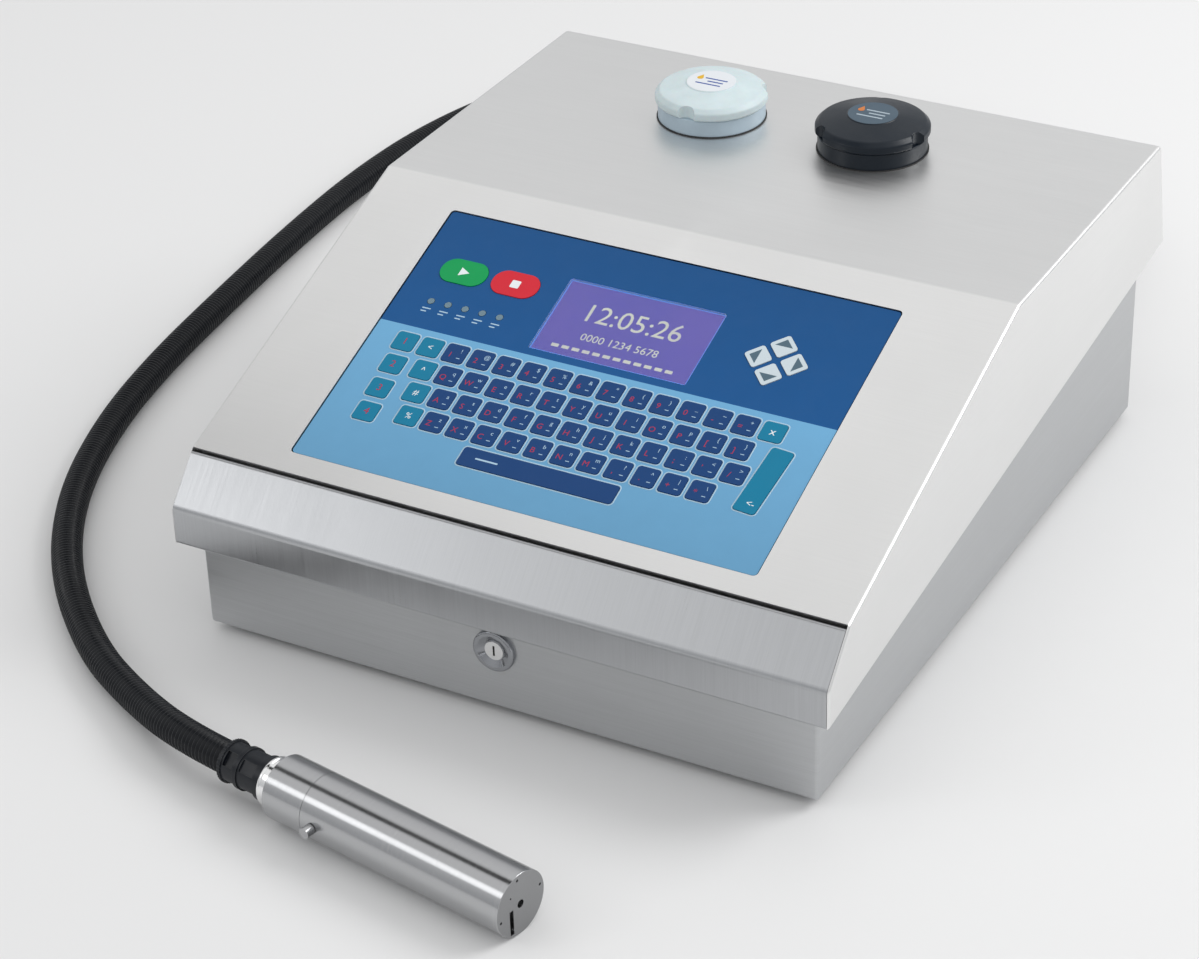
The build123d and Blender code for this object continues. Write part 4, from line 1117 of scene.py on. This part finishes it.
class PRINTER_OT_print_head(PrinterOperator):
    """Finish the print head and the parts under its cover"""

    bl_idname = "printer.print_head"
    bl_label = "Print head"

    def build(self):
        steel = settings("printer_steel")
        # the head's tint is a darker copy of the lid's steel: painted shade
        turned = turned_steel("turned steel head", steel.head, 0.2)
        paint(turned, "head_rear_body", "head_cover", "head_end_cap", "head_thumb_screw")
        polished = plated("polished jet parts", (0.8, 0.79, 0.77, 1), 0.16)
        paint(polished, "drop_generator", "gutter", "charge_and_deflector_electrodes")
        deck = brushed_steel("milled head deck", (0.78, 0.78, 0.79, 1), (900, 900, 60), (0, 1, 0), 0.32)
        paint(deck, "head_chassis")


class PRINTER_OT_rear_panel(PrinterOperator):
    """Finish the fan, inlet and switch, and add the inlet's pins and a blank rating plate"""

    bl_idname = "printer.rear_panel"
    bl_label = "Rear panel"

    def build(self):
        black = moulded("black moulded fittings", (0.022, 0.022, 0.024, 1), 0.45, 1400.0, 0.00004, wear_and_highlight=0.4)
        paint(black, "fan_frame_and_guard", "mains_inlet")
        paint(moulded("fan blades", (0.03, 0.03, 0.033, 1), 0.5, 1400.0, 0.00003), "fan_rotor")
        paint(moulded("rocker", (0.035, 0.035, 0.04, 1), 0.3, 1400.0, 0.00001, wear_and_highlight=0.5), "rocker_switch")
        nickel = plated("nickel plated pins", (0.82, 0.78, 0.7, 1), 0.2)
        low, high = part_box("mains_inlet")
        middle = (low.x + high.x) / 2
        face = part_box("base_tray")[1].y
        blade = round_box(2.0 * MM, 4.0 * MM, 13 * MM, 0.6 * MM)
        pins = [(blade, aim(BACKWARD, (middle + x * MM, face - 15 * MM, (44 + z) * MM)))
                for x, z in ((-7, -2), (0, 2), (7, -2))]
        piece("inlet_pins", pins, nickel, "base", 30)
        plate = round_box(62 * MM, 34 * MM, 0.5 * MM, 2.5 * MM)
        spot = aim(BACKWARD, (0.052, face, 0.050))
        tint = (0.86, 0.87, 0.88, 1)
        aluminium = brushed_steel("plain aluminium plate", tint, (40, 900, 900), (0, 0, 1), 0.4)
        piece("rating_plate", [(plate, spot)], aluminium, "base", 30)


class PRINTER_OT_inside(PrinterOperator):
    """Finish the modules inside the cabinet and connect them with hoses"""

    bl_idname = "printer.inside"
    bl_label = "Inside"

    BOARD_TOP = 27.6  # upper face of the main board, in millimetres
    # Hoses as points in millimetres: from one fitting to the next.
    HOSES = {
        "ink_supply_hose": [(-72, -62, 52), (-58, -62, 53), (-42, -40, 58), (-30, -12, 50), (-25, 4, 36),
                            (-25, 19, 30)],
        "ink_return_hose": [(-72, -62, 32), (-54, -62, 31), (-30, -50, 27), (-8, -20, 26), (0, 2, 29),
                            (0, 19, 30)],
        "ink_tank_hose": [(20, 99, 120), (20, 84, 121), (14, 64, 114), (2, 50, 96), (0, 47, 73)],
        "ink_feed_hose": [(88, 99, 120), (88, 84, 121), (80, 66, 114), (76, 50, 96), (75, 47, 73)],
        "solvent_tank_hose": [(-34, 99, 120), (-34, 84, 121), (-32, 64, 114), (-26, 50, 96),
                              (-25, 47, 73)],
        "solvent_vent_hose": [(-100, 99, 120), (-100, 84, 121), (-120, 72, 118), (-150, 58, 100),
                              (-168, 52, 73)],
        "filter_hose": [(130, 40, 87), (130, 41, 100), (127, 60, 104), (120, 100, 92), (119, 160, 66),
                        (120, 215, 56), (120, 259, 55)],
        "damper_hose": [(180, 40, 67), (180, 41, 82), (172, 60, 90), (150, 105, 82), (133, 165, 64),
                        (128, 215, 58), (127, 259, 58)],
        "valve_hose": [(50, 47, 73), (50, 48, 92), (62, 62, 102), (95, 84, 96), (124, 120, 74),
                       (131, 190, 56), (130, 259, 52)],
    }
    TANK_OUTLETS = (-100, -34, 20, 88)  # along the fronts of the tanks, in millimetres
    # A barbed end and its hexagon, as (radius, height) points in millimetres.
    BARB = ((0, 0), (2.4, 0), (2.4, 4), (3.3, 5), (2.6, 8), (3.3, 8.2), (2.4, 11), (0, 11))
    NUT = ((0, 0), (5.6, 0), (5.6, 3.2), (4.6, 4), (0, 4))

    def build(self):
        components = (0.03, 0.03, 0.035, 1)
        paint(circuit_board("main board", self.BOARD_TOP * MM + 0.0002, components), "main_board")
        paint(circuit_board("keyboard board"), "keyboard_board")
        deck = brushed_steel("rolled aluminium deck", (0.80, 0.81, 0.82, 1), (40, 700, 700), (0, 1, 0), 0.42)
        paint(deck, "chassis_deck", "power_supply")
        painted = moulded("painted pump", (0.16, 0.17, 0.19, 1), 0.38, 900.0, 0.00003, wear_and_highlight=0.5, Metallic=0.2)
        paint(painted, "ink_pump", "vacuum_pump")
        block = moulded("valve block", (0.07, 0.075, 0.085, 1), 0.4, 1200.0, 0.00003, wear_and_highlight=0.4)
        paint(block, "valve_manifold")
        paint(moulded("white filter housings", (0.72, 0.74, 0.74, 1), 0.4), "ink_filter_and_damper")
        natural = moulded("natural tank plastic", (0.70, 0.71, 0.66, 1), 0.36, 900.0, 0.00004,
                          Subsurface_Weight=0.1, Subsurface_Scale=0.004)
        paint(natural, "ink_tank", "solvent_tank")
        self.hoses()
        self.fittings()
        self.board_parts()

    def hoses(self):
        radius = settings("printer_fluid").hose_radius
        ink = clear_plastic("ink hose", (0.03, 0.03, 0.045, 1), 0.22)
        solvent = clear_plastic("natural hose", (0.62, 0.62, 0.56, 1), 0.22)
        for name, points in self.HOSES.items():
            data = smooth_curve(name, [[c * MM for c in place] for place in points], 12)
            data.bevel_depth = radius
            data.bevel_resolution = 4
            data.use_fill_caps = True
            clear = name.startswith("solvent")
            material, slot = (solvent, "tank_plastic") if clear else (ink, "black_nylon")
            piece(name, evaluated_mesh(data), material, "base", 60)

    def fittings(self):
        """A straight barbed end with a hexagon at each outlet on the fronts of the tanks."""
        barb, nut = (lathe([(r * MM, z * MM) for r, z in profile], steps)
                     for profile, steps in ((self.BARB, 24), (self.NUT, 6)))
        placed = []
        for x in self.TANK_OUTLETS:
            seat = aim((0, -1, 0), (x * MM, 0.110, 0.120))
            placed += [(barb, seat), (nut, seat)]
        nickel = plated("nickel fittings", (0.8, 0.77, 0.7, 1), 0.2)
        piece("tank_fittings", placed, nickel, "base", 30)

    def board_parts(self):
        """Small components on the main board."""
        tree = small_parts_tree()
        dark = moulded("component bodies", (0.03, 0.03, 0.033, 1), 0.35)
        pale = moulded("ceramic bodies", (0.42, 0.33, 0.22, 1), 0.35)
        height = (self.BOARD_TOP + 0.4) * MM
        grid = [(x * MM, y * MM, height) for x in range(26, 190, 5) for y in range(-186, -100, 4)]
        size_of_one = (2.0 * MM, 1.2 * MM, 0.8 * MM)
        for name, seed, part, tone in (("board_resistors", 3, 0.16, dark),
                                       ("board_capacitors", 11, 0.12, pale)):
            mesh = grown(tree, points_mesh(grid), tone, Seed=seed, Share=part, Size=size_of_one)
            piece(name, mesh, tone, "base")


class PRINTER_OT_screws(PrinterOperator):
    """Put the visible screws in: hinges, fan guard, inlet, boards and deck"""

    bl_idname = "printer.screws"
    bl_label = "Screws"

    REAR_FOOT = Vector((0, 280.0, 135.0))  # the lid's rear wall at its foot, in millimetres
    REAR_TOP = Vector((0, 262.5, 215.8))
    LEAF = 2.5  # thickness of a hinge's leaf
    LEAF_RISE = 24  # from the wall's foot up to the lid leaves' screws
    HINGE_SCREWS = (-170, -130, 130, 170)

    def build(self):
        tree = hardware_tree()
        zinc = plated("zinc plated screws", (0.78, 0.78, 0.76, 1), 0.22)
        fastener = scene_object("fastener", pan_head_screw())
        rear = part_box("base_tray")[1].y / MM
        rise = (self.REAR_TOP - self.REAR_FOOT).normalized()
        outward = rise.cross(Vector((1, 0, 0)))
        leaf = self.REAR_FOOT + rise * self.LEAF_RISE + outward * self.LEAF
        # Each set: its body, the head's radius, which way it faces, and its places, in millimetres.
        sets = {
            "hinge_base_screws": ("base", 3.4, BACKWARD, [(x, rear + self.LEAF, 103)
                                                          for x in self.HINGE_SCREWS]),
            "hinge_lid_screws": ("lid", 3.4, outward, [(x, leaf.y, leaf.z) for x in self.HINGE_SCREWS]),
            "fan_guard_screws": ("base", 2.8, BACKWARD, [(x, rear, z) for x in (-165, -115)
                                                         for z in (37, 87)]),
            "inlet_screws": ("base", 2.4, BACKWARD, [(x, rear + 3, 60) for x in (-59.5, -20.5)]),
            "plate_rivets": ("base", 1.3, BACKWARD, [(x, rear + 0.5, z) for x in (24, 80)
                                                     for z in (36, 64)]),
            "deck_screws": ("base", 3.4, UP, [(x, y, 18) for x in (-195, 195) for y in (-217, 86)]),
            "board_screws": ("base", 2.8, UP, [(x, y, 27.6) for x in (27, 188) for y in (-207, -59)]),
            "supply_screws": ("base", 2.8, UP, [(x, y, 58) for x in (-191, -29) for y in (-208, -114)]),
        }
        for name, (body, radius, facing, spots) in sets.items():
            places = [tuple(c * MM for c in spot) for spot in spots]
            points = points_mesh(places, [facing] * len(spots))
            mesh = grown(tree, points, zinc, Fastener=fastener, Scale=radius * MM)
            piece(name, mesh, zinc, body, 30)
        bpy.data.objects.remove(fastener)


class PRINTER_OT_studio(PrinterOperator):
    """Lay the floor and set the soft lights"""

    bl_idname = "printer.studio"
    bl_label = "Studio"

    FLAG_TOWARD = (-0.534, 0.117, 0.837)  # from the head to the flag
    FILL_SHARE = 0.14  # the fill light's power over the key light's

    def build(self):
        look = settings("printer_studio")
        bpy.context.scene.view_settings.view_transform = "Standard"
        self.floor(look)
        self.flag()
        self.sky(look)
        self.lamp("key", (1.7, 1.2, 1.9), 1.6, look.key_power)
        self.lamp("fill", (-1.9, -1.9, 1.7), 0.9, look.key_power * self.FILL_SHARE)

    def slab(self, name, half_width, half_depth, thickness, material):
        mesh = flat_shape([(x * half_width, y * half_depth) for x, y in SQUARE], thickness)
        mesh.materials.append(material)
        return scene_object(name, mesh)

    def flag(self):
        """A dark panel that only reflections see, for the dark streak along the head."""
        material, graph, shader = surface("flag", Roughness=1.0)
        tone = graph.noise(graph.place(), 3.0)
        graph.named(shader, Base_Color=graph.blend(tone, (0, 0, 0, 1), (0.01, 0.01, 0.01, 1)))
        toward = Vector(self.FLAG_TOWARD)
        across = HEAD_AXIS.cross(toward).normalized()
        turn = Matrix((HEAD_AXIS, across, HEAD_AXIS.cross(across))).transposed().to_4x4()
        flag = self.slab("flag", 1.4, 0.13, 0.004, material)
        flag.matrix_world = Matrix.Translation(HEAD_REAR + HEAD_AXIS * 0.09 + toward * 1.2) @ turn
        for kind in ("camera", "diffuse", "transmission", "shadow"):
            setattr(flag, f"visible_{kind}", False)

    def floor(self, look):
        material, graph, shader = surface("studio floor", Roughness=0.85)
        tone = graph.noise(graph.place(), 1.4, 2.0)
        graph.named(shader, Base_Color=graph.blend(tone, scaled(look.floor, 0.985), look.floor))
        floor = self.slab("floor", 9, 9, 0.01, material)
        floor.location.z = -0.01

    def sky(self, look):
        """Bright overhead, and a little darker towards the horizon."""
        world = bpy.data.worlds.new("studio sky")
        world.use_nodes = True
        graph = Graph(world.node_tree)
        direction = graph.node("ShaderNodeTexCoord").outputs["Generated"]
        height = graph.node("ShaderNodeSeparateXYZ", direction).outputs["Z"]
        climb = graph.remap(height, 0.0, 0.85)
        background = world.node_tree.nodes["Background"]
        graph.named(background, Color=graph.blend(climb, look.horizon, look.zenith))
        bpy.context.scene.world = world

    def lamp(self, name, place, width, power):
        data = bpy.data.lights.new(name, "AREA")
        data.shape = "DISK"
        data.size = width
        data.energy = power
        lamp = scene_object(name, data)
        lamp.location = place
        lamp.rotation_mode = "QUATERNION"
        lamp.rotation_quaternion = (Vector(place) - Vector((0, 0, 0.1))).to_track_quat("Z", "Y")


OPERATORS = (
    PRINTER_OT_camera, PRINTER_OT_conduit, PRINTER_OT_cabinet, PRINTER_OT_keyboard, PRINTER_OT_display,
    PRINTER_OT_fillers, PRINTER_OT_print_head, PRINTER_OT_rear_panel, PRINTER_OT_inside, PRINTER_OT_screws,
    PRINTER_OT_studio,
)


class PRINTER_PT_panel(bpy.types.Panel):
    """The printer's settings and the operators that build it"""

    bl_label = "Inkjet printer"
    bl_idname = "PRINTER_PT_panel"
    bl_space_type = "VIEW_3D"
    bl_region_type = "UI"
    bl_category = "Printer"

    def draw(self, context):
        layout = self.layout
        for name in SETTINGS:
            box = layout.box()
            group = getattr(context.scene, name)
            for key in type(group).__annotations__:
                box.prop(group, key)
        for operator in OPERATORS:
            layout.operator(operator.bl_idname)


def register():
    for name, group in SETTINGS.items():
        bpy.utils.register_class(group)
        setattr(bpy.types.Scene, name, bpy.props.PointerProperty(type=group))
    for kind in (*OPERATORS, PRINTER_PT_panel):
        bpy.utils.register_class(kind)


def unregister():
    for kind in reversed((*OPERATORS, PRINTER_PT_panel)):
        bpy.utils.unregister_class(kind)
    for name, group in SETTINGS.items():
        delattr(bpy.types.Scene, name)
        bpy.utils.unregister_class(group)


def main():
    register()
    make_edge_wear_and_highlight()
    make_brushed_grain()
    make_moulded_skin()
    make_settled_dust()
    for operator in OPERATORS:
        section, name = operator.bl_idname.split(".")
        getattr(getattr(bpy.ops, section), name)()


if __name__ == "__main__":
    main()
